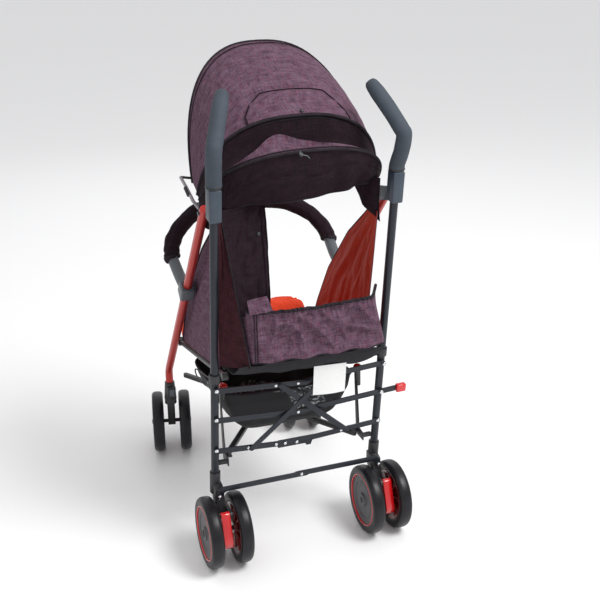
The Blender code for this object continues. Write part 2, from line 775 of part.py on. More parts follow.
def add_bar(name, side, height, layer, outer=0.0, extra=()):
    """A flat bar hinged on a tube pin, drawn from its pivot toward the middle."""
    length, rest, _ = bar_angles()
    axis = add_empty(name + "_axis", (side * TUBE_X, layer_behind(layer), height), parent=REAR)
    outline = stadium(-outer, length + BAR_OVERRUN, BAR_WIDTH)
    holes = [(0.0, 0.0, BAR_PIN + CLEAR)]
    mesh = turn_plate(plate_mesh(outline, BAR_THICK, holes), "XZ")
    mesh.transform(Matrix.Rotation(-rest, 4, "Y"))
    point_inward(mesh, side)
    bar = add_part(name, mesh, "rear_frame", parent=axis)
    for shape in extra:
        add_cutter(bar, shape, "UNION")
    return bar


def build_linkage(side):
    """Upper, middle and lock bars on one side frame, and the cross bar on the upper bar."""
    layer = bar_layer(side)
    cross_layer = 2 if side > 0 else 3
    high_x, high_z = bar_point(side, UPPER_HEIGHT, cross_high_reach())
    shank = layer_behind(cross_layer) + BAR_THICK / 2 + CLEAR - layer_behind(layer)
    pin = headed_pin_meshes(high_x - side * TUBE_X, 0.0, shank, high_z - UPPER_HEIGHT)
    add_bar(side_name("upper_bar", side), side, UPPER_HEIGHT, layer, extra=pin)
    add_bar(side_name("lock_bar", side), side, LOCK_HEIGHT, layer, extra=lock_plate_meshes(side))
    add_bar(side_name("middle_bar", side), side, MIDDLE_HEIGHT, layer,
            outer=PEDAL_REACH if side < 0 else 0.0, extra=pedal_meshes(side))
    build_cross_bar(side, high_x, high_z, cross_layer)


def lock_plate_meshes(side):
    """The left lock bar carries the plate whose hook drops over the right bar."""
    if side < 0:
        return ()
    length, rest, _ = bar_angles()
    x = -length * math.cos(rest)
    z = length * math.sin(rest)
    outline = [(x + 0.052, z - 0.008), (x + 0.052, z + 0.012), (x - 0.034, z + 0.012),
               (x - 0.034, z + 0.004), (x - 0.028, z - 0.014), (x - 0.018, z - 0.014), (x - 0.014, z - 0.008)]
    return (turn_plate(plate_mesh(outline, BAR_THICK - CLEAR), "XZ"),)


def pedal_meshes(side):
    """The foot pedal on the outer end of the right middle bar."""
    if side > 0:
        return ()
    rest = bar_angles()[1]
    x = -PEDAL_REACH * math.cos(rest)
    z = -PEDAL_REACH * math.sin(rest)
    width, depth, height = PEDAL_SIZE
    return (box_mesh((width, depth, height), (x, (depth - BAR_THICK) / 2, z)),)


def build_cross_bar(side, high_x, high_z, layer):
    """A long bar from the upper bar on its own side down to the lock bar on the other."""
    low_x, low_z = bar_point(-side, LOCK_HEIGHT, CROSS_LOW_REACH)
    span_x = low_x - high_x
    span_z = low_z - high_z
    length = math.hypot(span_x, span_z)
    outline = stadium(0.0, length, BAR_WIDTH * 0.9)
    mesh = turn_plate(plate_mesh(outline, BAR_THICK, [(0.0, 0.0, BAR_PIN + CLEAR)]), "XZ")
    mesh.transform(Matrix.Rotation(-math.atan2(span_z, span_x), 4, "Y"))
    place = (high_x, layer_behind(layer), high_z)
    axis = add_empty(side_name("cross_bar_axis", side), place, parent=REAR)
    bar = add_part(side_name("cross_bar", side), mesh, "rear_frame", parent=axis)
    end = rod_mesh((span_x, 0.0, span_z), (span_x, BAR_THICK / 2 + RIVET_HEAD, span_z), 1.7 * BAR_PIN,
                   1.2 * BAR_PIN)
    add_cutter(bar, end, "UNION")


def foot_layer_behind(side):
    """How far the foot bar's middle lies behind the tube's axis."""
    return FOOT_BAR_SETBACK + FOOT_BAR_GAP + BAR_THICK / 2 + bar_layer(side) * (BAR_THICK + CLEAR)


def build_foot_bar(side):
    """The low bar that joins the wheel feet, with its outer end curved down to the foot."""
    place = (side * TUBE_X, foot_layer_behind(side), -FOOT_BAR_DROP)
    axis = add_empty(side_name("foot_bar_axis", side), place, parent=REAR)
    half = BAR_WIDTH / 2
    reach = TUBE_X + BAR_OVERRUN
    top = FOOT_BAR_DIP + half
    under = FOOT_BAR_DIP - half
    outline = (arc(0.0, 0.0, half, 180, 360) + [(half + 0.002, under * 0.6), (half + 0.010, under)]
               + arc(reach, FOOT_BAR_DIP, half, -90, 90) + [(half, top), (-half + 0.004, top - 0.010)])
    mesh = turn_plate(plate_mesh(outline, BAR_THICK, [(0.0, 0.0, BAR_PIN + CLEAR)]), "XZ")
    point_inward(mesh, side)
    add_part(side_name("foot_bar", side), mesh, "rear_frame", parent=axis)


def build_collar(side):
    """The sliding collar on the rear tube and the tube that props the seat between it and the leg."""
    x = side * TUBE_X
    low = COLLAR_HEIGHT
    high = low + COLLAR_LENGTH
    collar = add_part(side_name("collar", side),
                      rod_mesh((x, 0.0, low), (x, 0.0, high), COLLAR_RADIUS, sides=20), "black_plastic",
                      parent=REAR)
    bore = rod_mesh((x, 0.0, low - 0.01), (x, 0.0, high + 0.01), TUBE_RADIUS + RUNNING, sides=16)
    add_cutter(collar, bore, "DIFFERENCE")
    rear_y, rear_z = on_tube(low + COLLAR_LENGTH / 2)
    front = leg_point(SEAT_FRONT_Z, side)
    axis = add_empty(side_name("seat_tube_axis", side), (side * SEAT_TUBE_X, rear_y, rear_z))
    reach = (0.0, front.y - rear_y, SEAT_FRONT_Z - rear_z)
    tube = rod_mesh((0.0, 0.0, 0.0), reach, SEAT_TUBE_RADIUS)
    part = add_part(side_name("seat_tube", side), tube, "black_plastic", parent=axis)
    for end in ((0.0, 0.0, 0.0), reach):
        half = SEAT_TUBE_RADIUS
        eye = rod_mesh((-half, end[1], end[2]), (half, end[1], end[2]), 0.009)
        add_cutter(part, eye, "UNION")


def rail_drop(side):
    """The left rail passes over the right one."""
    return side * (RAIL_DEPTH / 2 + CLEAR)


def rail_pitch():
    """How far the plane of the rails rises toward the front."""
    return math.atan2(RAIL_END[2] - HANGER_LOW_Z, HANGER_Y - RAIL_END[1])


def build_rails(side):
    """A hanger plate on the leg, a yoke hinged under it, and the cross rail hinged on the yoke."""
    leg_y, _ = on_tube((HANGER_LOW_Z - TUBE_BASE_Z) / math.cos(TUBE_LEAN))
    outline = ([(HANGER_TOP_Y - 0.006, HANGER_TOP_Z), (HANGER_TOP_Y + 0.006, HANGER_TOP_Z),
                (HANGER_Y + 0.008, HANGER_LOW_Z + 0.012), (leg_y + 0.004, HANGER_LOW_Z + 0.008),
                (leg_y + 0.004, HANGER_LOW_Z - 0.010), (HANGER_Y - 0.008, HANGER_LOW_Z - 0.010)])
    plate = moved(turn_plate(plate_mesh(outline, HANGER_THICK), "YZ"), (side * HANGER_X, 0.0, 0.0))
    hanger = add_part(side_name("hanger_plate", side), plate, "black_plastic")
    inner = TUBE_X - TUBE_RADIUS - CLEAR
    spacer_y = leg_y - 0.004
    spacer = rod_mesh((side * HANGER_X, spacer_y, HANGER_LOW_Z), (side * inner, spacer_y, HANGER_LOW_Z),
                      SPACER_RADIUS)
    add_cutter(hanger, spacer, "UNION")

    drop = rail_drop(side)
    yoke_axis = add_empty(side_name("yoke_axis", side), (side * RAIL_X, HANGER_Y, HANGER_LOW_Z))
    away = -math.copysign(RAIL_DEPTH / 2 + CLEAR + YOKE_THICK / 2, drop)
    width = 2 * (HANGER_X - RAIL_X) - HANGER_THICK - 2 * CLEAR
    yoke = box_mesh((width, YOKE_LENGTH, YOKE_THICK), (0.0, 0.006 - YOKE_LENGTH / 2, drop + away))
    yoke.transform(Matrix.Rotation(-rail_pitch(), 4, "X"))
    add_part(side_name("rail_yoke", side), yoke, "black_plastic", parent=yoke_axis)

    along = Vector((side * (RAIL_END[0] - RAIL_X), RAIL_END[1] - HANGER_Y, RAIL_END[2] - HANGER_LOW_Z))
    outline = stadium(0.0, along.length, RAIL_WIDTH)
    rail_mesh = plate_mesh(outline, RAIL_DEPTH)
    groove = box_mesh((along.length - 0.030, RAIL_WIDTH - 2 * RAIL_WALL, RAIL_DEPTH),
                      (along.length / 2, 0.0, -RAIL_WALL))
    normal = Vector((0.0, -along.z, along.y)).normalized()
    if normal.z < 0:
        normal = -normal
    across = normal.cross(along.normalized())
    turn = Matrix((along.normalized(), across, normal)).transposed().to_4x4()
    place = Matrix.Translation(normal * drop) @ turn
    rail_mesh.transform(place)
    groove.transform(place)
    rail = add_part(side_name("cross_rail", side), rail_mesh, "black_plastic", parent=yoke_axis)
    add_cutter(rail, groove, "DIFFERENCE")


def mirrored(point):
    return Vector((-point[0], point[1], point[2]))


def elbow_knee(side):
    """Where the elbow, after leaving its block, turns up toward the bumper bar."""
    return leg_point(SOCKET_Z, side) + Vector(ELBOW_LEAVES) * 2.2


def build_socket(side, leg_axis):
    """The grooved block on the front leg and the elbow that holds the bumper bar."""
    shift = Vector((0.0, -PIVOT_Y, -PIVOT_Z))
    along = leg_direction(side)
    centre = leg_point(SOCKET_Z, side)
    turn = along.to_track_quat("Z", "Y").to_matrix().to_4x4()
    block = box_mesh(SOCKET_SIZE)
    block.transform(Matrix.Translation(centre + shift) @ turn)
    socket = add_part(side_name("bumper_socket", side), block, "grey_plastic", parent=leg_axis)
    add_bevel(socket, 0.003, 1)
    top = Vector((side * ELBOW_TOP[0], ELBOW_TOP[1], ELBOW_TOP[2]))
    root = centre + Vector(ELBOW_LEAVES) * 0.6
    elbow = moved(tube_mesh(rounded([root, elbow_knee(side), top], 0.02), ELBOW_RADIUS), shift)
    add_cutter(socket, elbow, "UNION")
    middle = centre + shift
    bore = rod_mesh(middle - along * 0.06, middle + along * 0.06, LEG_RADIUS + CLEAR, sides=16)
    add_cutter(socket, bore, "DIFFERENCE")


def build_bumper():
    """The soft bar across the front between the two elbows."""
    end = Vector(ELBOW_TOP)
    outward = (end - elbow_knee(1)).normalized()
    centre = Vector(BUMPER_CENTRE)
    left_half = [end + outward * BUMPER_START]
    for across, forward, up in BUMPER_BENDS:
        left_half.append(Vector((end.x * across, end.y + (centre.y - end.y) * forward,
                                 end.z + (centre.z - end.z) * up)))
    right_half = [mirrored(point) for point in reversed(left_half)]
    start = end + outward * CLEAR
    middle = smooth_route(left_half + [centre] + right_half, 2)
    route = [start] + middle + [mirrored(start)]
    add_part("bumper_bar", tube_mesh(route, BUMPER_RADIUS, 3), "plum_fabric")


def seat_line(y):
    """Height of the seat tubes' centre line at a place along the seat."""
    rear_y, rear_z = on_tube(COLLAR_HEIGHT + COLLAR_LENGTH / 2)
    front_y = leg_point(SEAT_FRONT_Z, 1).y
    return SEAT_FRONT_Z + (rear_z - SEAT_FRONT_Z) * (y - front_y) / (rear_y - front_y)


def back_angle():
    return math.atan2(BACK_TIP_Z - BACK_PIVOT_Z, BACK_TIP_Y - BACK_PIVOT_Y)


def raise_thighs(mesh, length):
    """Lifts the cushion's upper side into a roll that runs across its front."""
    seam = 0.0001
    for vertex in mesh.vertices:
        offset = vertex.co.y - THIGH_SHARE * length
        reach = THIGH_REACH[0] if offset > 0 else THIGH_REACH[1]
        if vertex.co.z > -seam and abs(offset) < reach:
            share = 1.0 if vertex.co.z > seam else 0.5
            vertex.co.z += share * THIGH_RISE * math.cos(math.pi / 2 * offset / reach) ** 2


def build_seat():
    """The sling between the seat tubes and the cushion on it."""
    half = SEAT_TUBE_X - SEAT_TUBE_RADIUS - CLEAR
    rear = BACK_PIVOT_Y - BACK_THICK / 2 - RUNNING

    def sling(u, v):
        y = SEAT_FRONT_Y + (rear - SEAT_FRONT_Y) * v
        sag = 0.010 * math.sin(math.pi * u)
        return ((2 * u - 1) * half, y, seat_line(y) - sag)

    add_sheet("seat_sling", sling, 12, 8, "black_fabric", FABRIC)
    length = rear - SEAT_FRONT_Y - 0.004
    tilt = math.atan2(seat_line(rear) - seat_line(SEAT_FRONT_Y), rear - SEAT_FRONT_Y)
    middle = (rear + SEAT_FRONT_Y) / 2
    mesh = pillow_mesh(2 * CUSHION_HALF_WIDTH, length, CUSHION_THICK, CUSHION_CHANNELS)
    raise_thighs(mesh, length)
    lift = seat_line(middle) + FABRIC / 2 + 0.34 * CUSHION_THICK + CLEAR - CUSHION_SINK
    add_part("seat_cushion", mesh, "orange_fabric", (0.0, middle, lift), (tilt, 0.0, 0.0))


def build_backrest():
    """The reclined back panel on its hinge, and the band that stands up behind the head."""
    angle = back_angle()
    length = math.hypot(BACK_TIP_Y - BACK_PIVOT_Y, BACK_TIP_Z - BACK_PIVOT_Z)
    radius = BACK_THICK / 2
    end_radius = 0.007
    outline = (arc(0.0, 0.0, radius, 90, 270) + arc(length, 0.0, end_radius, -90, 90))
    panel = turn_plate(plate_mesh(outline, 2 * BACK_HALF_WIDTH), "YZ")
    pivot = (0.0, BACK_PIVOT_Y, BACK_PIVOT_Z)
    board = add_part("backrest", panel, "black_fabric", pivot, (angle, 0.0, 0.0))
    rod_end = SEAT_TUBE_X - FABRIC / 2 - CLEAR
    add_cutter(board, rod_mesh((-rod_end, 0.0, 0.0), (rod_end, 0.0, 0.0), BACK_ROD_RADIUS), "UNION")

    low = end_radius + RUNNING
    corner = BAND_HALF_WIDTH

    def band(u, v):
        run = u * 3
        if run < 1:
            x, y = -corner, -BAND_RETURN * (1 - run)
        elif run < 2:
            x, y = -corner + 2 * corner * (run - 1), 0.0
        else:
            x, y = corner, -BAND_RETURN * (run - 2)
        bow = 0.006 * math.sin(math.pi * min(max(run - 1, 0.0), 1.0))
        ripple = 0.002 * math.sin(26 * u) * (1 - v)
        return (x, y + bow + ripple, low + (BAND_HEIGHT - low) * v)

    add_sheet("back_band", band, 24, 3, "plum_fabric", BAND_THICK, location=(0.0, BACK_TIP_Y, BACK_TIP_Z))


def build_side_wall(side):
    """The fabric wall beside the seat; the left one turns in to a strip beside the rear window."""
    tube_top = SEAT_TUBE_RADIUS + CLEAR
    outline = [(y, seat_line(y) + tube_top) for y in WALL_LOW_Y]
    outline += [WALL_REAR, (WALL_TOP_Y[0], WALL_TOP_Z), (WALL_TOP_Y[1], WALL_TOP_Z - 0.002), *WALL_FRONT]
    wall = moved(turn_plate(plate_mesh(outline, FABRIC), "YZ"), (side * SEAT_TUBE_X, 0.0, 0.0))
    part = add_part(side_name("side_wall", side), wall, "plum_fabric")
    if side < 0:
        return
    inner = SEAT_TUBE_X - STRIP_WIDTH
    low = BACK_TIP_Z + BAND_HEIGHT + 0.004
    high = WALL_TOP_Z - 0.004
    strip = [(SEAT_TUBE_X, low), (SEAT_TUBE_X, high), (inner, high), (inner, low)]
    panel = turn_plate(plate_mesh(strip, FABRIC), "XZ")
    top_y = 0.280
    low_y = 0.255
    lean = math.atan2(top_y - low_y, WALL_TOP_Z - low)
    panel.transform(Matrix.Translation((0.0, low_y, low)) @ Matrix.Rotation(-lean, 4, "X")
                    @ Matrix.Translation((0.0, 0.0, -low)))
    add_cutter(part, panel, "UNION")


def hood_point(angle, height, turn):
    """A point on the hood's skin: turn runs from one side over the top to the other."""
    across = HOOD_X * math.copysign(abs(math.cos(turn)) ** HOOD_SQUARE, math.cos(turn))
    rise = height * abs(math.sin(turn)) ** HOOD_SQUARE
    return Vector((across, HOOD_Y - rise * math.cos(angle), HOOD_Z + rise * math.sin(angle)))


def hood_turn(share):
    """The turn at a share of the way from one side of the hood to the other."""
    return HOOD_FIRST + (math.pi - 2 * HOOD_FIRST) * share


def hood_panel(name, front, back):
    """A stretched panel of the hood between two bows."""

    def skin(u, v):
        turn = hood_turn(u)
        angle = front[0] + (back[0] - front[0]) * v
        pull = HOOD_PULL * math.sin(math.pi * v) * math.sin(turn)
        return hood_point(angle, front[1] + (back[1] - front[1]) * v - pull, turn)

    return add_sheet(name, skin, 24, 4, "plum_fabric", HOOD_THICK)


def bow_mesh(bow):
    """One bow that follows the hood's skin from inside, from pivot to pivot."""
    points = [Vector((BOW_X, HOOD_Y, HOOD_Z))]
    for step in range(17):
        place = hood_point(bow[0], bow[1] - BOW_INSET, hood_turn(step / 16))
        points.append(Vector((place.x * BOW_X / HOOD_X, place.y, place.z)))
    points.append(Vector((-BOW_X, HOOD_Y, HOOD_Z)))
    return tube_mesh(points, BOW_THICK, 1)


def build_hood():
    """Front and second panels that telescope back, and the fixed rear with its curtain."""
    hood_panel("hood_front", BOW_FRONT, (BOW_SECOND[0] - 0.004, BOW_SECOND[1]))
    hood_panel("hood_second", (BOW_SECOND[0] + 0.010, BOW_SECOND[1]), (BOW_MIDDLE[0] - 0.008, BOW_MIDDLE[1]))

    def rear_skin(u, v):
        turn = hood_turn(u)
        if v < 0.5:
            share = v * 2
            angle = BOW_MIDDLE[0] + 0.012 + (BOW_REAR[0] - BOW_MIDDLE[0] - 0.012) * share
            height = BOW_MIDDLE[1] + (BOW_REAR[1] - BOW_MIDDLE[1]) * share
            sag = 0.030 * math.sin(math.pi * share) * math.sin(turn) ** 2
            return hood_point(angle, height - sag, turn)
        share = v * 2 - 1
        top = hood_point(BOW_REAR[0], BOW_REAR[1], turn)
        across = abs(2 * u - 1)
        drop = (CURTAIN_DROP + 0.010 * across) * share * math.sin(turn) ** 1.5
        fold = 0.004 * math.sin(9 * math.pi * u) * share
        return top + Vector((0.0, -CURTAIN_TUCK * share * math.sin(turn) + fold, -drop))

    add_sheet("hood_rear", rear_skin, 24, 6, "plum_fabric", HOOD_THICK)
    bows = add_part("rear_bows", bow_mesh(BOW_MIDDLE), "black_plastic")
    add_cutter(bows, bow_mesh((BOW_REAR[0] - 0.10, BOW_REAR[1] - 0.030)), "UNION")
    for side in (1, -1):
        outer = ear_inner_x() - CLEAR
        disc = rod_mesh((side * (BOW_X - 0.0035), HOOD_Y, HOOD_Z), (side * outer, HOOD_Y, HOOD_Z), 0.011)
        add_cutter(bows, disc, "UNION")


def build_basket():
    """The open bag under the seat, hung between the hangers."""
    top_half = HANGER_X - HANGER_THICK / 2 - CLEAR
    rows = ((BASKET_TOP_Z, BASKET_FRONT_TOP_Z, top_half, BASKET_BACK_Y, BASKET_FRONT_Y),
            (BASKET_LOW_Z + 0.020, BASKET_LOW_Z + 0.020, BASKET_LOW_HALF + 0.012, BASKET_BACK_Y - 0.018,
             BASKET_FRONT_Y + 0.015),
            (BASKET_LOW_Z, BASKET_LOW_Z, BASKET_LOW_HALF, BASKET_BACK_Y - 0.035, BASKET_FRONT_Y + 0.030))

    def build(bm):
        rings = []
        for back_z, front_z, half, back, front in rows:
            corner = 0.018
            outline = (arc(half - corner, back - corner, corner, 0, 90, 3)
                       + arc(corner - half, back - corner, corner, 90, 180, 3)
                       + arc(corner - half, front + corner, corner, 180, 270, 3)
                       + arc(half - corner, front + corner, corner, 270, 360, 3))
            slope = (back_z - front_z) / (back - front)
            rings.append([bm.verts.new((x, y, front_z + slope * (y - front))) for x, y in outline])
        for upper, lower in zip(rings, rings[1:]):
            for index in range(len(upper)):
                after = (index + 1) % len(upper)
                bm.faces.new((upper[index], lower[index], lower[after], upper[after]))
        bm.faces.new(list(reversed(rings[-1])))

    mesh = mesh_from(build, "basket")
    basket = add_part("basket", mesh, "black_fabric")
    solid = basket.modifiers.new("wall", "SOLIDIFY")
    solid.thickness = BASKET_WALL
    solid.offset = -1.0


def build_stroller():
    for side in (1, -1):
        build_rear_tube(side)
        build_handle_bracket(side)
        build_grip(side)
        build_wheel_foot(side)
        leg_axis = build_front_leg(side)
        build_caster_housing(side, leg_axis)
        build_caster(side)
        build_brake(side)
        build_linkage(side)
        build_foot_bar(side)
        build_collar(side)
        build_rails(side)
        build_socket(side, leg_axis)
        build_side_wall(side)
    build_bumper()
    build_seat()
    build_backrest()
    build_hood()
    build_basket()


build_stroller()
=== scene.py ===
"""Dresses an umbrella-fold stroller: cloth, foam, tyres, steel and moulded plastic over its solids."""

import json
import math

import bmesh
import bpy
from mathutils import Matrix, Vector, noise


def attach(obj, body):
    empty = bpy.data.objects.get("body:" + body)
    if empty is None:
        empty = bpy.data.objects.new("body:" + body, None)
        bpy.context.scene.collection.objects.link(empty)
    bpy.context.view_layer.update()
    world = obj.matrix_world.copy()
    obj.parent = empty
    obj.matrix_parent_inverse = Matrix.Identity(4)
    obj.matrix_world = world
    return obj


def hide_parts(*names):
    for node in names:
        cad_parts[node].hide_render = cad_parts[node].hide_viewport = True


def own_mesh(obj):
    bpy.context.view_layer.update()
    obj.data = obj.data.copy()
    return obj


bl_info = {
    "name": "Stroller Dresser",
    "version": (1, 0, 0),
    "blender": (4, 5, 0),
    "location": "View3D > Sidebar > Stroller",
    "description": "Builds the visible pieces of an umbrella-fold stroller over its solids",
    "category": "Object",
}

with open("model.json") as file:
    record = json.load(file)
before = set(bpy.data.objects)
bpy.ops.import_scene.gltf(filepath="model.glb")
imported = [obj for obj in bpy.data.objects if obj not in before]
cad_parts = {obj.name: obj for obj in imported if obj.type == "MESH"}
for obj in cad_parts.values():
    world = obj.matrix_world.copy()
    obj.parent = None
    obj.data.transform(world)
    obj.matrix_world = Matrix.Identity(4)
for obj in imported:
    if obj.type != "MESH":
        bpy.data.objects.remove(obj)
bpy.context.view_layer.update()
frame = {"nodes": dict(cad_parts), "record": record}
BODY_OF = {node: body for body, nodes in frame["record"]["behaviour"]["bodies"].items() for node in nodes}
SIDES = ((1, "left"), (-1, "right"))

# Places shared by several pieces, in metres
TUBE_X = 0.197
TUBE_BASE = (0.234, 0.167)
TUBE_LEAN = math.atan(0.121)
HOOD_PIVOT = Vector((0.0, 0.190, 0.818))
HOOD_X = 0.200
# The hood's lever at the left: its foot at the pivot, its lower end, its joint and its tip
HOOD_LEVER = ((0.1900, 0.196, 0.806), (0.2056, 0.190, 0.828), (0.2120, 0.150, 0.854), (0.2162, 0.130, 0.867))
BOW_FRONT = (math.radians(59.6), 0.355)
BOW_SECOND = (math.radians(83.0), 0.262)
BOW_MIDDLE = (math.radians(113.3), 0.205)
BOW_REAR = (math.radians(139.6), 0.204)
BACK_TIP = (0.349, 0.510)
BACK_PIVOT = (0.046, 0.421)
CASTER_TURN = math.radians(-12.0)
BAR_HEIGHTS = {"upper": 0.264, "middle": 0.187, "lock": 0.105}

# Points closer than this are one, in metres, and an edge over this angle is sharp, in degrees
MERGE_DISTANCE = 0.00002
EDGE_ANGLE = 38.0

# For a soft piece as the frame folds: axis of the squeeze, its anchor and the share that it keeps; the script reads
# none of them, and a piece that has one only gets its own mesh
HOOD_FOLD = ((1, 0, 0), (0, 0, 0), 0.4)
BACK_FOLD = ((1, 0, 0), (0, 0, 0), 0.38)
BASKET_FOLD = ((1, 0, 0), (0, 0, 0), 0.28)
WALL_FOLD = ((0, 1, 0), (0, 0.24, 0), 0.22)
STRIP_FOLD = ((0, 1, 0), (0, 0.26, 0), 0.5)


def on_tube(height, behind=0.0):
    """World (y, z) at a height along the rear tube and a distance behind it."""
    return (TUBE_BASE[0] + height * math.sin(TUBE_LEAN) + behind * math.cos(TUBE_LEAN),
            TUBE_BASE[1] + height * math.cos(TUBE_LEAN) - behind * math.sin(TUBE_LEAN))


def stroller():
    """The sizes and colours in the sidebar."""
    return bpy.context.scene.stroller


# Materials
class Value:
    """A number in a material's node tree that takes part in plain arithmetic."""

    def __init__(self, finish, socket):
        self.finish = finish
        self.socket = socket

    def maths(self, operation, first, second, clamp=False):
        node = self.finish.node("ShaderNodeMath", {"operation": operation, "use_clamp": clamp})
        for socket, value in zip(node.inputs, (first, second)):
            self.finish.put(socket, value)
        return Value(self.finish, node.outputs[0])

    def __add__(self, other):
        return self.maths("ADD", self, other)

    def __sub__(self, other):
        return self.maths("SUBTRACT", self, other)

    def __rsub__(self, other):
        return self.maths("SUBTRACT", other, self)

    def __mul__(self, other):
        return self.maths("MULTIPLY", self, other)

    __radd__ = __add__
    __rmul__ = __mul__

    def clamped(self):
        return self.maths("ADD", self, 0.0, clamp=True)

    def above(self, level, softness):
        """A soft step: 0 under the level and 1 over it."""
        return ((self - level) * (1.0 / softness) + 0.5).clamped()


class Finish:
    """One material, with the few kinds of node that this stroller's finishes need."""

    def __init__(self, name, colour, roughness, metallic=0.0, **fixed):
        self.material = bpy.data.materials.new(name)
        self.material.use_nodes = True
        self.links = self.material.node_tree.links
        self.shader = self.material.node_tree.nodes["Principled BSDF"]
        self.set("Base Color", (*colour, 1.0))
        self.set("Roughness", roughness)
        self.set("Metallic", metallic)
        for key, value in fixed.items():
            self.set(key.replace("_", " "), value)

    def set(self, socket, value):
        self.put(self.shader.inputs[socket], value)

    def put(self, socket, value):
        if isinstance(value, Value):
            value = value.socket
        if isinstance(value, bpy.types.NodeSocket):
            self.links.new(value, socket)
        else:
            socket.default_value = value

    def node(self, kind, settings=None, **values):
        node = self.material.node_tree.nodes.new(kind)
        for key, value in (settings or {}).items():
            setattr(node, key, value)
        for key, value in values.items():
            self.put(node.inputs[key], value)
        return node

    def noise(self, source, scale, detail=2.0, roughness=0.5, distortion=0.0):
        """Noise over Object or UV coordinates; a single scale serves all three axes."""
        scales = scale if isinstance(scale, tuple) else (scale, scale, scale)
        coordinates = self.node("ShaderNodeTexCoord").outputs[source]
        place = self.node("ShaderNodeMapping", Vector=coordinates, Scale=scales).outputs[0]
        node = self.node("ShaderNodeTexNoise", Vector=place, Scale=1.0, Detail=detail, Roughness=roughness,
                         Distortion=distortion)
        return Value(self, node.outputs[0])

    def mix(self, factor, first, second):
        """Colour between two colours, each a value or another mix."""
        node = self.node("ShaderNodeMix", {"data_type": "RGBA"})
        factor_socket, first_socket, second_socket = (node.inputs[index] for index in (0, 6, 7))
        self.put(factor_socket, factor)
        for socket, colour in ((first_socket, first), (second_socket, second)):
            self.put(socket, (*colour, 1.0) if isinstance(colour, tuple) else colour)
        return node.outputs[2]

    def bump(self, height, distance, strength, **under):
        """Roughens the surface by a height, over another bump where Normal gives one."""
        raised = self.node("ShaderNodeBump", Height=height, Distance=distance, Strength=strength, **under).outputs[0]
        self.set("Normal", raised)
        return raised


def woven(name, dark, light, warm, source="UV", roughness=0.85, contrast=3.0, crease=0.0012):
    """Melange cloth: threads of two shades both ways, a warm yarn here and there, fine weave and creases."""
    finish = Finish(name, dark, roughness, Specular_IOR_Level=0.14)
    warp = finish.noise(source, (460.0, 40.0, 224.0), 3.0, 0.65)
    weft = finish.noise(source, (36.0, 420.0, 60.0), 3.0, 0.65)
    patch = finish.noise(source, (34.0, 60.0, 40.0), 3.0, 0.6)
    threads = ((warp + weft) * 0.5 + patch * 0.35 - 0.675) * contrast + 0.5
    cloth_colour = finish.mix(threads.clamped(), dark, light)
    yarn = finish.noise(source, (300.0, 38.0, 120.0), 3.0, 0.7)
    finish.set("Base Color", finish.mix(((yarn - 0.47) * 3.0).clamped() * 0.55, cloth_colour, warm))
    fold = finish.noise(source, (16.0, 9.0, 12.0), 3.0, 0.55, 0.6)
    soft = finish.bump(fold, crease * 8.0, 0.55)
    finish.bump(warp + weft, 0.0006, 0.6, Normal=soft)
    return finish.material


def painted(name, colour, roughness, metallic, flake=0.0, **fixed):
    """Powder-coated or lacquered steel with a faint orange-peel surface."""
    finish = Finish(name, colour, roughness, metallic, **fixed)
    grime = finish.noise("Object", 22.0, 4.0, 0.6)
    lighter = tuple(min(1.0, channel * 1.5 + 0.012) for channel in colour)
    speck = finish.noise("Object", 900.0, 1.0)
    finish.set("Base Color", finish.mix((grime * 0.5 + speck * flake - 0.2).clamped(), colour, lighter))
    finish.set("Roughness", (grime - 0.5) * 0.18 + roughness)
    finish.bump(finish.noise("Object", 420.0), 0.00025, 0.35)
    return finish.material


def moulded(name, colour, roughness, grain, depth, shade=0.35, **fixed):
    """Moulded plastic, foam or rubber: a fine grain and slightly uneven wear."""
    finish = Finish(name, colour, roughness, **fixed)
    wear = finish.noise("Object", 30.0, 4.0, 0.6)
    lighter = tuple(min(1.0, channel * (1.0 + shade) + 0.006) for channel in colour)
    finish.set("Base Color", finish.mix(((wear - 0.35) * 2.0).clamped(), colour, lighter))
    finish.set("Roughness", (wear - 0.5) * 0.16 + roughness)
    finish.bump(finish.noise("Object", grain), depth, 0.5)
    return finish.material


def marbled(name):
    """Basket cloth: black, with generic pale grey marbled patches."""
    finish = Finish(name, (0.012, 0.012, 0.014), 0.8)
    veins = finish.noise("Object", (55.0, 55.0, 70.0), 5.0, 0.65, 1.8)
    area = finish.noise("Object", (7.0, 7.0, 9.0), 1.0)
    mask = veins.above(0.52, 0.05) * area.above(0.56, 0.03)
    finish.set("Base Color", finish.mix(mask, (0.013, 0.013, 0.015), (0.30, 0.32, 0.33)))
    finish.bump(finish.noise("Object", 700.0, 1.0), 0.0005, 0.5)
    return finish.material


FINISHES = {}


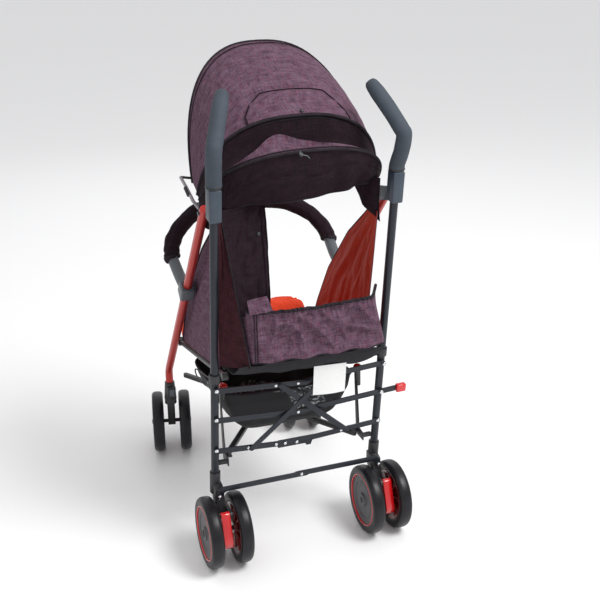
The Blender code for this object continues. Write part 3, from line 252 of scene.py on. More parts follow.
def make_finishes(colours):
    """Fills the table of finishes, in the sidebar's colours."""
    FINISHES.update({
        "plum": woven("plum_melange", tuple(colours.plum), (0.165, 0.105, 0.150), (0.200, 0.034, 0.064)),
        # This finish is a darker copy of the plum cloth. It is painted shade where it covers the rear curtain, its
        # side flap, the recess, the window strip, the inner sides of the band and gusset, and the bumper sleeve.
        # Where it draws the seams it is dark seam thread.
        "plum_dark": woven("plum_dark", (0.006, 0.003, 0.005), (0.022, 0.012, 0.018), (0.026, 0.004, 0.007)),
        "plum_wine": woven("plum_wine", (0.014, 0.004, 0.006), (0.052, 0.016, 0.022), (0.080, 0.008, 0.012)),
        "lining": woven("lining", tuple(colours.lining), (0.420, 0.040, 0.016), (0.230, 0.016, 0.010),
                        contrast=0.7, roughness=0.62, crease=0.0020),
        "orange": woven("orange_cloth", tuple(colours.seat), (0.930, 0.085, 0.028), (0.640, 0.035, 0.012),
                        source="Object", contrast=0.6, roughness=0.7),
        "black_cloth": woven("black_cloth", (0.011, 0.011, 0.013), (0.035, 0.035, 0.040),
                             (0.020, 0.018, 0.022), source="Object", contrast=1.2),
        "binding": woven("black_binding", (0.010, 0.008, 0.010), (0.032, 0.026, 0.032),
                         (0.018, 0.012, 0.016), source="Object", crease=0.0004),
        "basket": marbled("basket_cloth"),
        "steel_dark": painted("dark_frame_paint", tuple(colours.frame), 0.36, 0.35, 0.15),
        "red_paint": painted("red_frame_paint", tuple(colours.leg), 0.34, 0.35, 0.4, Coat_Weight=0.15),
        "grip": moulded("grip_foam", tuple(colours.grip), 0.78, 700.0, 0.0006, 0.25),
        "bracket": moulded("blue_grey_plastic", (0.030, 0.044, 0.062), 0.42, 500.0, 0.0002),
        "grey": moulded("grey_plastic", (0.075, 0.085, 0.096), 0.45, 600.0, 0.0002),
        "zinc": moulded("lever_plastic", (0.300, 0.290, 0.310), 0.42, 600.0, 0.0002),
        "black": moulded("black_plastic", (0.014, 0.014, 0.016), 0.42, 800.0, 0.0003, 0.8),
        "tyre": moulded("tyre_rubber", (0.005, 0.005, 0.007), 0.36, 260.0, 0.0003, 0.5, Specular_IOR_Level=0.3),
        "disc": moulded("wheel_disc", (0.060, 0.060, 0.064), 0.48, 1100.0, 0.0003, 0.3),
        "red": moulded("red_clear_plastic", (0.560, 0.004, 0.006), 0.18, 300.0, 0.0001, 0.2, Coat_Weight=0.7),
        "deep_red": moulded("deep_red_plastic", (0.160, 0.002, 0.004), 0.25, 300.0, 0.0001, 0.9,
                            Coat_Weight=0.4),
        "silver": painted("rivet_steel", (0.640, 0.650, 0.670), 0.22, 1.0),
        "tag": woven("blank_tag", (0.800, 0.800, 0.790), (0.900, 0.900, 0.890), (0.780, 0.780, 0.770),
                     source="Object", contrast=0.4, roughness=0.6, crease=0.0006),
    })


# Modelling helpers
def activate(obj):
    """Selects one object alone and makes it the active one."""
    bpy.ops.object.select_all(action="DESELECT")
    obj.select_set(True)
    bpy.context.view_layer.objects.active = obj


def linked(name, data):
    """A new active object in the scene."""
    obj = bpy.data.objects.new(name, data)
    bpy.context.scene.collection.objects.link(obj)
    activate(obj)
    return obj


def primitive(operator, **values):
    """The object that an operator adds as a basic mesh, with nothing else selected."""
    bpy.ops.object.select_all(action="DESELECT")
    operator(**values)
    return bpy.context.view_layer.objects.active


def apply_all(obj):
    """Applies the piece's place and its modifiers."""
    activate(obj)
    bpy.ops.object.transform_apply(location=True, rotation=True, scale=True)
    for modifier in list(obj.modifiers):
        bpy.ops.object.modifier_apply(modifier=modifier.name)


def smooth(obj, degrees=EDGE_ANGLE):
    """Shades faces smooth where they meet at less than an angle."""
    activate(obj)
    bpy.ops.object.shade_smooth_by_angle(angle=math.radians(degrees))


def paint(obj, *finishes):
    """Gives a piece its materials, one for each side of a cloth."""
    obj.data.materials.clear()
    for finish in finishes:
        obj.data.materials.append(FINISHES[finish])


def squeeze(obj):
    """Gives a soft piece its own copy of its mesh."""
    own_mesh(obj)


def place_piece(obj, name, body, nodes=(), fold=None):
    """Names a finished piece, puts it on its body and hides the nodes that it stands for."""
    obj.name = name
    obj.data.name = name
    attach(obj, body)
    if nodes:
        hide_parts(*nodes)
    if fold:
        squeeze(obj)
    return obj


def edit(obj, *operations):
    """Runs operators on the whole piece in edit mode, each given with its values."""
    activate(obj)
    bpy.ops.object.mode_set(mode="EDIT")
    bpy.ops.mesh.select_all(action="SELECT")
    for operator, values in operations:
        operator(**values)
    bpy.ops.object.mode_set(mode="OBJECT")


def round_edges(obj, width, segments=2):
    """A bevel on the sharp edges, applied."""
    if width:
        bevel = obj.modifiers.new("edges", "BEVEL")
        bevel.width = width
        bevel.segments = segments
        bevel.limit_method = "ANGLE"
        bevel.angle_limit = math.radians(EDGE_ANGLE)
    apply_all(obj)
    smooth(obj)


def dress(node, finish, width, fold=None):
    """A rigid node's own shape with rounded edges and smooth shading."""
    obj = linked(node + "_dressed", frame["nodes"][node].data.copy())
    obj.matrix_world = Matrix.Identity(4)
    edit(obj, (bpy.ops.mesh.remove_doubles, {"threshold": MERGE_DISTANCE}),
         (bpy.ops.mesh.dissolve_limited, {"angle_limit": math.radians(1.0)}))
    round_edges(obj, width)
    paint(obj, finish)
    return place_piece(obj, obj.name, BODY_OF[node], (node,), fold)


def tube(name, points, radius, finish, body, nodes=(), sides=6, radii=None, closed=False, fold=None):
    """A round tube through the points, closed at both ends; radii scales it along the way."""
    curve = bpy.data.curves.new(name, "CURVE")
    curve.dimensions = "3D"
    curve.bevel_depth = radius
    curve.bevel_resolution = sides
    curve.use_fill_caps = True
    spline = curve.splines.new("POLY")
    spline.points.add(len(points) - 1)
    spline.use_cyclic_u = closed
    for point, place, scale in zip(spline.points, points, radii or [1.0] * len(points)):
        point.co = (*place, 1.0)
        point.radius = scale
    linked(name, curve)
    bpy.ops.object.convert(target="MESH")
    obj = bpy.context.view_layer.objects.active
    edit(obj, (bpy.ops.mesh.remove_doubles, {"threshold": MERGE_DISTANCE}))
    smooth(obj, 50.0)
    paint(obj, finish)
    return place_piece(obj, name, body, nodes, fold)


def blend_knots(before, first, last, after, t):
    """A point between two knots, on the smooth curve that also passes their neighbours."""
    return 0.5 * (2 * first + (last - before) * t + (2 * before - 5 * first + 4 * last - after) * t * t
                  + (3 * first - before - 3 * last + after) * t ** 3)


def spline_through(points, steps):
    """Closer points on a smooth curve through the given ones."""
    knots = [Vector(point) for point in points]
    padded = [knots[0], *knots, knots[-1]]
    route = [blend_knots(*padded[index:index + 4], step / steps)
             for index in range(len(knots) - 1) for step in range(steps)]
    return route + [knots[-1]]


def along(surface, steps, u=None, v=None, shift=(0.0, 0.0, 0.0)):
    """Points on a surface along the direction that isn't given, all moved by one shift."""
    shares = [step / steps for step in range(steps + 1)]
    return [Vector(surface(share if u is None else u, share if v is None else v)) + Vector(shift)
            for share in shares]


def line_length(points):
    """Length of the line through the points."""
    return sum((after - before).length for before, after in zip(points, points[1:]))


def between(stops, share):
    """A pair of numbers between the (share, pair) stops."""
    for (start, first), (end, last) in zip(stops, stops[1:]):
        if share <= end:
            part = (share - start) / (end - start)
            return tuple(a + (b - a) * part for a, b in zip(first, last))
    return stops[-1][1]


def cloth(name, surface, columns, rows, finishes, body, nodes=(), thickness=None, outward=None):
    """A sewn sheet from surface(u, v), with its outer and inner cloth, its UVs laid out at its flat size."""
    obj = primitive(bpy.ops.mesh.primitive_grid_add, x_subdivisions=columns, y_subdivisions=rows, size=1.0)
    mesh = obj.data
    spots = {vertex.index: (vertex.co.x + 0.5, vertex.co.y + 0.5) for vertex in mesh.vertices}
    for vertex in mesh.vertices:
        vertex.co = surface(*spots[vertex.index])
    wide = max(line_length(along(surface, 60, v=share / 4)) for share in range(5))
    long = max(line_length(along(surface, 60, u=share / 4)) for share in range(5))
    layer = mesh.uv_layers.active.data
    for loop in mesh.loops:
        u, v = spots[loop.vertex_index]
        layer[loop.index].uv = (u * wide, v * long)
    mesh.update()
    solid = obj.modifiers.new("wall", "SOLIDIFY")
    solid.thickness = thickness or stroller().cloth_thickness
    solid.offset = 0.0
    if outward is not None:
        solid.offset = -1.0
        facing = sum(face.area * face.normal.dot(face.center - Vector(outward)) for face in mesh.polygons)
        if facing < 0:
            mesh.flip_normals()
    if len(finishes) > 1:
        solid.material_offset = 1
    paint(obj, *finishes)
    apply_all(obj)
    smooth(obj, 60.0)
    place_piece(obj, name, body, nodes)
    squeeze(obj)


def ripple(x, y, seed):
    """Soft uneven cloth noise, the same each run."""
    return noise.noise(Vector((x, y, seed)))


def crease(x, y, seed, sharp=3.0):
    """Thin raised folds where cloth bunches, from 0 to 1."""
    return max(0.0, 1.0 - abs(2.4 * ripple(x, y, seed))) ** sharp


# The hood
def hood_point(angle, height, turn):
    """A point on a bow: its tilt back from level, its height over the pivot and how far round it lies."""
    square = 0.80
    across = HOOD_X * math.copysign(abs(math.cos(turn)) ** square, math.cos(turn))
    rise = height * abs(math.sin(turn)) ** square
    return Vector((across, HOOD_PIVOT.y - rise * math.cos(angle), HOOD_PIVOT.z + rise * math.sin(angle)))


def turn_at(share):
    """How far round a bow a share of its cloth lies, which stops short of the pivots."""
    first = math.radians(5.0)
    return first + (math.pi - 2 * first) * share


def hood_skin(front, back, bulge, wrinkle, seed):
    """A stretched panel between two bows, pulled in between them, with light tension wrinkles."""
    def surface(u, v):
        turn = turn_at(u)
        angle = front[0] + (back[0] - front[0]) * v
        height = front[1] + (back[1] - front[1]) * v
        slack = math.sin(math.pi * v)
        side = abs(math.cos(turn))
        pull = bulge * slack * math.sin(turn) ** 1.5
        fold = wrinkle * slack * (abs(ripple(u * 26, v * 2.2, seed)) + 0.9 * crease(u * 15 + v, v * 3 - u * 4, seed))
        fold += wrinkle * 1.2 * slack * side ** 4 * abs(math.sin(u * 90 + 3 * v))
        return hood_point(angle, height - pull - fold, turn)
    return surface


def bow_line(bow, lift):
    """Points along a bow's cloth, lifted off it."""
    steps = 48
    return [hood_point(bow[0], bow[1] + lift, turn_at(step / steps)) for step in range(steps + 1)]


# Edges of the second panel, just inside its two bows
SECOND_EDGES = ((BOW_SECOND[0] + 0.004, BOW_SECOND[1]), (BOW_MIDDLE[0] - 0.002, BOW_MIDDLE[1] + 0.002))


def build_hood_canopy():
    """The canopy's two stretched panels with their rim, piping and hem seam."""
    below = HOOD_PIVOT + Vector((0.0, -0.06, 0.02))
    cloth("canopy_front", hood_skin(BOW_FRONT, (BOW_SECOND[0] - 0.002, BOW_SECOND[1]), 0.006, 0.0034, 1.0),
          110, 44, ("plum", "lining"), "hood_front", ("hood_front",), outward=below)
    cloth("canopy_second", hood_skin(*SECOND_EDGES, 0.008, 0.0034, 4.0), 110, 40, ("plum", "lining"),
          "hood_second", ("hood_second",), outward=below)
    hem = (BOW_FRONT[0] + math.radians(3.2), BOW_FRONT[1] - 0.0115)
    for name, bow, lift, radius, sides, finish, body in (
            ("canopy_rim", BOW_FRONT, 0.0005, 0.0028, 3, "binding", "hood_front"),
            ("canopy_piping", BOW_MIDDLE, 0.0016, 0.0034, 3, "binding", "hood_second"),
            ("canopy_hem_seam", hem, -0.0006, 0.0011, 2, "plum_dark", "hood_front")):
        tube(name, bow_line(bow, lift), radius, finish, body, sides=sides, fold=HOOD_FOLD)


# The flap on the canopy, in shares of the second panel: its width at each height, and its outline
POCKET_WIDTHS = [(0.0, (0.420, 0.597)), (0.32, (0.372, 0.628)), (0.68, (0.345, 0.662)), (1.0, (0.345, 0.675))]
POCKET_OUTLINE = [(0.0, (0.345, 0.995)), (0.10, (0.345, 0.80)), (0.22, (0.372, 0.60)), (0.32, (0.420, 0.42)),
                  (0.68, (0.597, 0.42)), (0.78, (0.628, 0.60)), (0.90, (0.662, 0.80)), (1.0, (0.675, 0.995))]


def build_pocket():
    """The flap sewn on the canopy's lower middle, with its raised seam and snap."""
    base = hood_skin(*SECOND_EDGES, 0.008, 0.0, 4.0)

    def raised(u, v, lift):
        point = base(u, v)
        return point + (point - HOOD_PIVOT).normalized() * lift

    def flap(u, v):
        left, right = between(POCKET_WIDTHS, v)
        crest = 0.0022 * math.exp(-((v - 0.30 - 0.10 * u) / 0.06) ** 2)
        crest += 0.0016 * math.exp(-((v - 0.72) / 0.05) ** 2)
        lift = 0.0024 + crest + 0.0008 * ripple(u * 8, v * 5, 2.0)
        return raised(left + (right - left) * u, 0.42 + 0.565 * v, lift)

    cloth("canopy_pocket", flap, 48, 34, ("plum",), "hood_second", thickness=0.0014, outward=HOOD_PIVOT)
    edge = [raised(*between(POCKET_OUTLINE, step / 60), 0.0034) for step in range(61)]
    tube("pocket_seam", edge, 0.0012, "plum_dark", "hood_second", sides=2, fold=HOOD_FOLD)
    dome("canopy_snap", raised(0.505, 0.955, 0.006), Vector((0.0, 0.5, 0.85)), 0.0042, "black", "hood_second")


def dome(name, centre, facing, radius, finish, body, flat=0.45, fold=None):
    """A small domed snap or rivet head that faces one way."""
    obj = primitive(bpy.ops.mesh.primitive_uv_sphere_add, segments=16, ring_count=10, radius=radius)
    turn = Vector(facing).to_track_quat("Z", "Y").to_matrix().to_4x4()
    obj.data.transform(Matrix.Translation(centre) @ turn @ Matrix.Diagonal((1.0, 1.0, flat, 1.0)))
    smooth(obj, 60.0)
    paint(obj, finish)
    return place_piece(obj, name, body, fold=fold)


def build_hood_rear():
    """The dark recess with its crumpled flap, the rear bow's band and the curtain with its wavy hem."""
    def recess(u, v):
        turn = turn_at(u)
        angle = BOW_MIDDLE[0] - 0.020 + (BOW_REAR[0] - BOW_MIDDLE[0] + 0.010) * v
        hollow = math.sin(math.pi * min(1.0, max(0.0, v - 0.043) * 1.065))
        depth = 0.050 * max(0.0, hollow) ** 0.9 * math.sin(turn) ** 1.3
        depth += 0.006 * ripple(u * 14, v * 3, 7.0) * hollow
        return hood_point(angle, BOW_MIDDLE[1] - 0.002 - depth, turn)

    below = HOOD_PIVOT + Vector((0.0, 0.02, -0.05))
    # The recess cloth takes the darker copy of the plum cloth: its dark colour is painted shade.
    cloth("canopy_recess", recess, 90, 26, ("plum_dark", "lining"), "seat", outward=below)

    def flap(u, v):
        turn = turn_at(0.16 + 0.68 * u)
        peak = math.exp(-((u - 0.40) / 0.13) ** 2) + 0.35 * math.exp(-((u - 0.78) / 0.12) ** 2)
        rise = v * (0.25 + 0.75 * peak)
        angle = BOW_REAR[0] - 0.03 - (BOW_REAR[0] - BOW_MIDDLE[0]) * 0.58 * rise
        lift = -0.006 - 0.016 * math.sin(math.pi * rise) + 0.006 * math.sin(u * 17 + v * 4) * v
        return hood_point(angle, BOW_REAR[1] + lift, turn)

    cloth("recess_flap", flap, 70, 18, ("plum",), "seat", thickness=0.0014)
    for name, lift, tilt, radius in (("rear_bow_piping_1", 0.0025, 0.0, 0.0026),
                                     ("rear_bow_piping_2", -0.0005, -0.035, 0.0016)):
        tube(name, bow_line((BOW_REAR[0] + tilt, BOW_REAR[1]), lift), radius, "binding", "seat", sides=3,
             fold=HOOD_FOLD)

    def curtain(u, v):
        turn = turn_at(u)
        top = hood_point(*BOW_REAR, turn)
        waist = math.sin(turn)
        lean = u - 0.5
        drop = (0.098 + 0.016 * abs(lean) * 2 - 0.020 * lean + 0.006 * math.sin(u * 13 + 1.0)) * waist ** 1.2
        drop += 0.058 * math.exp(-((u - 0.10) / 0.14) ** 2) * min(1.0, waist * 4)
        drop += 0.010 * math.exp(-((u - 0.38) / 0.12) ** 2)
        fold = 0.0065 * math.sin(u * 34 + 2.5 * math.sin(u * 9)) * v ** 1.4 * waist
        fold -= 0.006 * crease(u * 11 + v * 2, v * 2.5, 8.0) * math.sin(math.pi * min(1.0, v + 0.1)) * waist
        tuck = -0.046 * v * waist + 0.010 * math.sin(math.pi * v) * waist
        rumple = 0.003 * ripple(u * 18, v * 4, 3.0) * v
        return top + Vector((0.0, tuck + fold + rumple, -drop * v))

    # The curtain's outer cloth is the darker copy of the plum cloth: painted shade.
    cloth("rear_curtain", curtain, 110, 26, ("plum_dark", "lining"), "seat", ("hood_rear",),
          outward=HOOD_PIVOT + Vector((0.0, 0.0, 0.03)))
    tube("curtain_hem", along(curtain, 90, v=1.0, shift=(0.0, 0.0, -0.0008)), 0.0013, "binding", "seat",
         sides=2, fold=HOOD_FOLD)

    def side_flap(u, v):
        x = -0.122 - 0.030 * v - (0.056 - 0.026 * v) * u
        y = 0.250 + 0.030 * u + 0.006 * math.sin(u * 9 + v * 3)
        z = 0.864 - 0.064 * v - 0.034 * u * v
        return (x, y, z)

    # The side flap is the darker copy of the plum cloth: painted shade.
    cloth("curtain_side_flap", side_flap, 20, 22, ("plum_dark",), "seat")
    toggle = hood_point(BOW_REAR[0], BOW_REAR[1] + 0.004, turn_at(0.475))
    dome("curtain_toggle", toggle + Vector((0.0, 0.003, -0.006)), Vector((0.0, 1.0, 0.2)), 0.0045, "black", "seat")
    pull = [toggle + Vector(step) for step in ((0.0, 0.0, 0.0), (0.004, 0.006, -0.004), (-0.010, 0.008, -0.008),
                                               (-0.016, 0.007, -0.014))]
    tube("toggle_pull", spline_through(pull, 4), 0.0010, "grey", "seat", sides=2)


# The seat and its cloth: (y, z) of a side wall's front and rear edges at shares of its height
WALL_FRONT = [(0.0, (-0.110, 0.3870)), (0.16, (-0.074, 0.458)), (0.42, (0.000, 0.570)), (0.72, (0.122, 0.699)),
              (1.0, (0.240, 0.789))]
WALL_REAR = [(0.0, (0.224, 0.4475)), (0.3, (0.240, 0.530)), (1.0, (0.283, 0.790))]


def build_side_wall(side, name):
    """One side wall of the seat, stretched between the seat tube and the handle, with its bound front edge."""
    def wall(u, v):
        front = between(WALL_FRONT, v)
        rear = between(WALL_REAR, v)
        y = front[0] * (1 - u) + rear[0] * u
        z = front[1] * (1 - u) + rear[1] * u
        slack = math.sin(math.pi * min(max(u, 0.02), 0.98)) * (0.25 + 0.75 * math.sin(math.pi * v))
        gather = 0.0060 * math.sin(u * 11 - v * 2 + 0.8 * math.sin(v * 5)) * slack
        gather += 0.0050 * crease(u * 4 + v, v * 1.6 - u, 4.0, 2.5) * slack
        return (side * (0.1745 + 0.007 * slack - abs(gather)), y, z)

    cloth("side_wall_cloth_" + name, wall, 56, 56, ("plum", "lining"), "side_" + name, ("side_wall_" + name,),
          outward=(0.0, 0.1, 0.55))
    tube("side_wall_binding_" + name, along(wall, 40, u=0.0), 0.0022, "binding", "side_" + name, sides=3,
         fold=WALL_FOLD)


def quad(corners, u, v):
    """A point on the surface between four corners: low left, low right, top left, top right."""
    low = Vector(corners[0]).lerp(Vector(corners[1]), u)
    high = Vector(corners[2]).lerp(Vector(corners[3]), u)
    return low.lerp(high, v)


# Corners of the window strip, the gusset and the patch
STRIP = ((0.1545, 0.3285, 0.6120), (0.0930, 0.3490, 0.6220), (0.1780, 0.287, 0.8310), (0.0743, 0.2640, 0.8300))
GUSSET = ((0.1885, 0.281, 0.4860), (0.1400, 0.3500, 0.5020), (0.1885, 0.303, 0.8290), (0.1780, 0.2875, 0.8310))
PATCH = ((0.1410, 0.3535, 0.6240), (0.0900, 0.3520, 0.6270), (0.1440, 0.3480, 0.6560), (0.1000, 0.3440, 0.6580))


def build_strip():
    """The plum strip beside the rear window and the gusset from it to the tube, with seams and snap."""
    def strip(u, v):
        bow = 0.010 * math.sin(math.pi * v)
        fold = 0.0050 * crease(u * 2.5 + v, v * 4.0 - u * 2, 3.0) + 0.004 * ripple(u * 4, v * 6, 5.0)
        free = min(1.0, u * 3)
        return quad(STRIP, u, v) + Vector((-bow * 0.5 * free, -(bow + fold) * free, 0.0))

    # Both sides of the strip are the darker copy of the plum cloth: painted shade.
    cloth("window_strip", strip, 34, 60, ("plum_dark", "plum_dark"), "side_left", outward=(0.1, 0.0, 0.7))
    for name, u in (("strip_seam_1", 0.90), ("strip_seam_2", 0.995)):
        line = along(strip, 40, u=u, shift=(0.0, 0.0016, 0.0))
        tube(name, line, 0.0010, "plum_dark", "side_left", sides=2, fold=STRIP_FOLD)
    dome("strip_snap", strip(0.80, 0.72) + Vector((0, 0.003, 0)), (0, 1, 0.1), 0.0042, "black", "side_left",
         fold=STRIP_FOLD)

    def patch(u, v):
        return quad(PATCH, u, v) + Vector((0.0, 0.003 * crease(u * 3, v * 2, 1.0), 0.0))

    cloth("strip_patch", patch, 18, 12, ("plum",), "side_left")

    def gusset(u, v):
        slack = math.sin(math.pi * u) * math.sin(math.pi * min(1.0, v * 1.05 + 0.02))
        fold = 0.010 * crease(u * 1.6 + v * 0.8, v * 2.2 - u * 1.2, 6.0, 2.0) + 0.006 * ripple(u * 3, v * 5, 2.0)
        return quad(GUSSET, u, v) + Vector((-0.002 * slack, -(0.003 + 0.6 * fold) * slack, 0.0))

    # The gusset's inner side is the darker copy of the plum cloth: painted shade.
    cloth("side_gusset", gusset, 34, 70, ("plum_wine", "plum_dark"), "side_left", outward=(0.1, 0.0, 0.6))
    tube("gusset_piping", along(gusset, 50, u=0.99, shift=(0.0, 0.0015, 0.0)), 0.0014, "binding", "side_left",
         sides=3, fold=STRIP_FOLD)


def build_back_band():
    """The band that stands up behind the seat back, gathered under its binding."""
    back = BACK_TIP[0]

    def corner_line(share, v):
        """Plan of the band from one side wall round its two corners to the other, at a height share."""
        left = 0.141
        right = 0.030 * v - 0.172
        stops = [(0.0, (-0.1700, 0.2880)), (0.14, (right - 0.001, back - 0.012)), (0.18, (right + 0.008, back)),
                 (0.82, (left - 0.008, back)), (0.86, (left - 0.001, back - 0.012)), (1.0, (0.1570, 0.2900))]
        return between(stops, share)

    def band(u, v):
        x, y = corner_line(u, v)
        middle = min(max((u - 0.16) / 0.68, 0.0), 1.0)
        swag = math.sin(math.pi * middle)
        bow = 0.007 * swag
        gather = 0.0026 * math.sin(u * 190 + 3 * math.sin(u * 31)) * max(0.0, v - 0.62) * 2.4 * min(1.0, swag * 4)
        fall = 1 - v
        fold = 0.0105 * crease(u * 6.5 + fall * 1.6, fall * 1.5 - u * 2.0, 5.0, 2.2)
        fold += 0.0070 * crease(u * 11 - fall * 2.4, fall * 2.2 + u * 3, 15.0, 3.0)
        fold += 0.0060 * ripple(u * 7, fall * 2.2, 9.0)
        hold = math.sin(math.pi * min(1.0, fall * 0.94 + 0.06)) ** 0.7 * min(1.0, swag * 3)
        dip = -0.004 * swag * v
        hem = 0.003 * math.sin(u * 41) * fall ** 4
        return (x, y + bow + gather - 0.010 * hold + fold * hold, 0.5085 + 0.117 * v + dip + hem)

    # The band's inner side is the darker copy of the plum cloth: painted shade.
    cloth("back_band_cloth", band, 200, 36, ("plum", "plum_dark"), "back_band", ("back_band",),
          outward=(0.0, 0.15, 0.56))
    for name, v, radius in (("band_binding", 1.0, 0.0035), ("band_lower_seam", 0.01, 0.0016)):
        tube(name, along(band, 150, v=v), radius, "binding", "back_band", sides=3, fold=BACK_FOLD)
    for name, u in (("band_piping_1", 0.800), ("band_piping_2", 0.812)):
        line = along(band, 24, u=u, shift=(0.0, 0.0012, 0.0))
        tube(name, line, 0.0012, "binding", "back_band", sides=2, fold=BACK_FOLD)


def build_backrest():
    """The padded board, its hanging black underside and the blank tag sewn to it."""
    angle = math.atan2(BACK_TIP[1] - BACK_PIVOT[1], BACK_TIP[0] - BACK_PIVOT[0])
    length = math.hypot(BACK_TIP[0] - BACK_PIVOT[0], BACK_TIP[1] - BACK_PIVOT[1])
    board = pad("backrest_pad", 0.308, length - 0.030, 0.017, 4, "orange", 0.30)
    place = (Matrix.Translation((0.0, BACK_PIVOT[0], BACK_PIVOT[1])) @ Matrix.Rotation(angle, 4, "X")
             @ Matrix.Translation((0.0, length / 2 - 0.016, 0.001)))
    board.data.transform(place)
    place_piece(board, "backrest_pad", "backrest", ("backrest",))
    squeeze(board)
    rod = [Vector((x, BACK_PIVOT[0], BACK_PIVOT[1] - 0.001)) for x in (-0.1675, 0.0, 0.1675)]
    tube("backrest_rod", rod, 0.0035, "black", "seat", sides=4, fold=BASKET_FOLD)

    def underside(u, v):
        x = (2 * u - 1) * 0.166
        y = 0.347 - 0.120 * v
        belly = math.sin(math.pi * min(1.0, v * 1.1)) ** 0.7
        sag = belly * (0.034 * (0.55 + 0.45 * math.sin(math.pi * u)) + 0.016 * math.exp(-((u - 0.12) / 0.15) ** 2))
        return (x, y, 0.506 - 0.036 * v - sag + 0.003 * ripple(u * 10, v * 4, 9.0))

    cloth("back_underside", underside, 60, 24, ("black_cloth",), "backrest", thickness=0.002)

    def tag(u, v):
        return (-0.012 - 0.076 * u - 0.004 * v, 0.322 - 0.018 * v + 0.004 * math.sin(u * 3.2) * v,
                0.470 - 0.078 * v - 0.003 * u)

    cloth("blank_tag", tag, 14, 14, ("tag",), "backrest", thickness=0.0008)


def pad(name, width, length, thickness, channels, finish, groove):
    """A crowned pad whose sides draw in between its corners, with sewn channels across it."""
    obj = primitive(bpy.ops.mesh.primitive_cube_add, size=1.0)
    obj.data.transform(Matrix.Diagonal((width, length, thickness, 1.0)))
    edit(obj, (bpy.ops.mesh.subdivide, {"number_cuts": 55}))
    for vertex in obj.data.vertices:
        u = 2 * vertex.co.x / width
        v = 2 * vertex.co.y / length
        rim = max(0.0, (1 - abs(u) ** 5) * (1 - abs(v) ** 5)) ** 0.5
        swell = 0.16 + 0.84 * rim
        for channel in range(1, channels):
            distance = (v / 2 + 0.5 - channel / channels) * length
            swell -= groove * math.exp(-(distance / 0.006) ** 2) * rim
        pucker = 1.0 + 0.10 * ripple(u * 5, v * 5, 2.0) + 0.05 * math.sin(u * 40) * (1 - rim)
        vertex.co.z *= swell * pucker
        vertex.co.x *= 1 - 0.030 * (1 - v * v) * abs(u) + 0.004 * ripple(u, v * 9, 5.0)
        vertex.co.y *= 1 - 0.030 * (1 - u * u) * abs(v)
    smooth(obj, 70.0)
    paint(obj, finish)
    obj.name = name
    return obj


def seat_height(y):
    """Height of the seat's side tubes at a place along the seat."""
    return 0.372 + 0.0838 * (y + 0.131) / 0.399


PUFF_FRAMES = 20
PUFF_SETTINGS = {"quality": 6, "mass": 0.2, "tension_stiffness": 12.0, "compression_stiffness": 12.0,
                 "shear_stiffness": 4.0, "bending_stiffness": 0.3, "shrink_min": -0.05, "use_pressure": True,
                 "uniform_pressure_force": 4.0}


def puff(obj, held_still, cap):
    """Blows the cushion up as sewn cloth, its seams held, and keeps every point near its start."""
    start = [vertex.co.copy() for vertex in obj.data.vertices]
    group = obj.vertex_groups.new(name="seams")
    group.add(held_still, 1.0, "REPLACE")
    activate(obj)
    cloth_modifier = obj.modifiers.new("puff", "CLOTH")
    settings = cloth_modifier.settings
    for name, value in PUFF_SETTINGS.items():
        setattr(settings, name, value)
    settings.effector_weights.gravity = 0.0
    settings.vertex_group_mass = group.name
    cloth_modifier.point_cache.frame_start = 1
    cloth_modifier.point_cache.frame_end = PUFF_FRAMES
    scene = bpy.context.scene
    for step in range(1, PUFF_FRAMES + 1):
        scene.frame_set(step)
    bpy.ops.object.modifier_apply(modifier=cloth_modifier.name)
    scene.frame_set(1)
    for vertex, before in zip(obj.data.vertices, start):
        move = vertex.co - before
        if move.length > cap:
            vertex.co = before + move * (cap / move.length)
    obj.vertex_groups.clear()


def build_cushion():
    """The seat's padded base with its sewn channels, and the sling that carries it."""
    front, rear, width = -0.188, 0.034, 0.318
    length = rear - front
    middle = (front + rear) / 2
    obj = pad("seat_pad", width, length, 0.032, 3, "orange", 0.42)
    for vertex in obj.data.vertices:
        offset = vertex.co.y + 0.042
        reach = 0.085 if offset > 0 else 0.150
        if vertex.co.z > -0.0005 and abs(offset) < reach:
            edge = min(1.0, 0.45 + 0.55 * vertex.co.z / 0.010)
            vertex.co.z += 0.056 * edge * math.cos(math.pi / 2 * offset / reach) ** 2
    seams = []
    for vertex in obj.data.vertices:
        u = abs(2 * vertex.co.x / width)
        v = vertex.co.y / length + 0.5
        channel = min(abs(v - 1 / 3), abs(v - 2 / 3)) * length
        if u > 0.965 or v < 0.02 or v > 0.98 or channel < 0.003 or vertex.co.z < -0.004:
            seams.append(vertex.index)
    puff(obj, seams, 0.007)
    tilt = math.atan2(seat_height(rear) - seat_height(front), length)
    obj.data.transform(Matrix.Translation((0.0, middle, seat_height(middle) + 0.0075))
                       @ Matrix.Rotation(tilt, 4, "X"))
    smooth(obj, 70.0)
    place_piece(obj, "seat_pad", BODY_OF["seat_cushion"], ("seat_cushion",))
    squeeze(obj)

    def sling(u, v):
        y = -0.1895 + 0.224 * v
        sag = 0.011 * math.sin(math.pi * u) + 0.001 * ripple(u * 8, v * 6, 1.0)
        return ((2 * u - 1) * 0.1680, y, seat_height(y) - sag)

    cloth("seat_sling_cloth", sling, 60, 40, ("black_cloth",), BODY_OF["seat_sling"], ("seat_sling",),
          thickness=0.0026)


# The basket: each row's height at the back and the front, half its width, and y of its back and front
BASKET_ROWS = ((0.3745, 0.3455, 0.1640, 0.2140, -0.0840), (0.345, 0.323, 0.1600, 0.2120, -0.0820),
               (0.305, 0.295, 0.1430, 0.2030, -0.0770), (0.280, 0.278, 0.1270, 0.1930, -0.0680),
               (0.264, 0.264, 0.1120, 0.1780, -0.0530))


def basket_ring(row, turn):
    """A point on a rounded rectangle at one row of the bag."""
    back_z, front_z, half, back, front = row
    power = 0.28
    x = half * math.copysign(abs(math.cos(turn)) ** power, math.cos(turn))
    reach = (back - front) / 2
    y = (back + front) / 2 + reach * math.copysign(abs(math.sin(turn)) ** power, math.sin(turn))
    share = (y - front) / (back - front)
    return Vector((x, y, front_z + (back_z - front_z) * share))


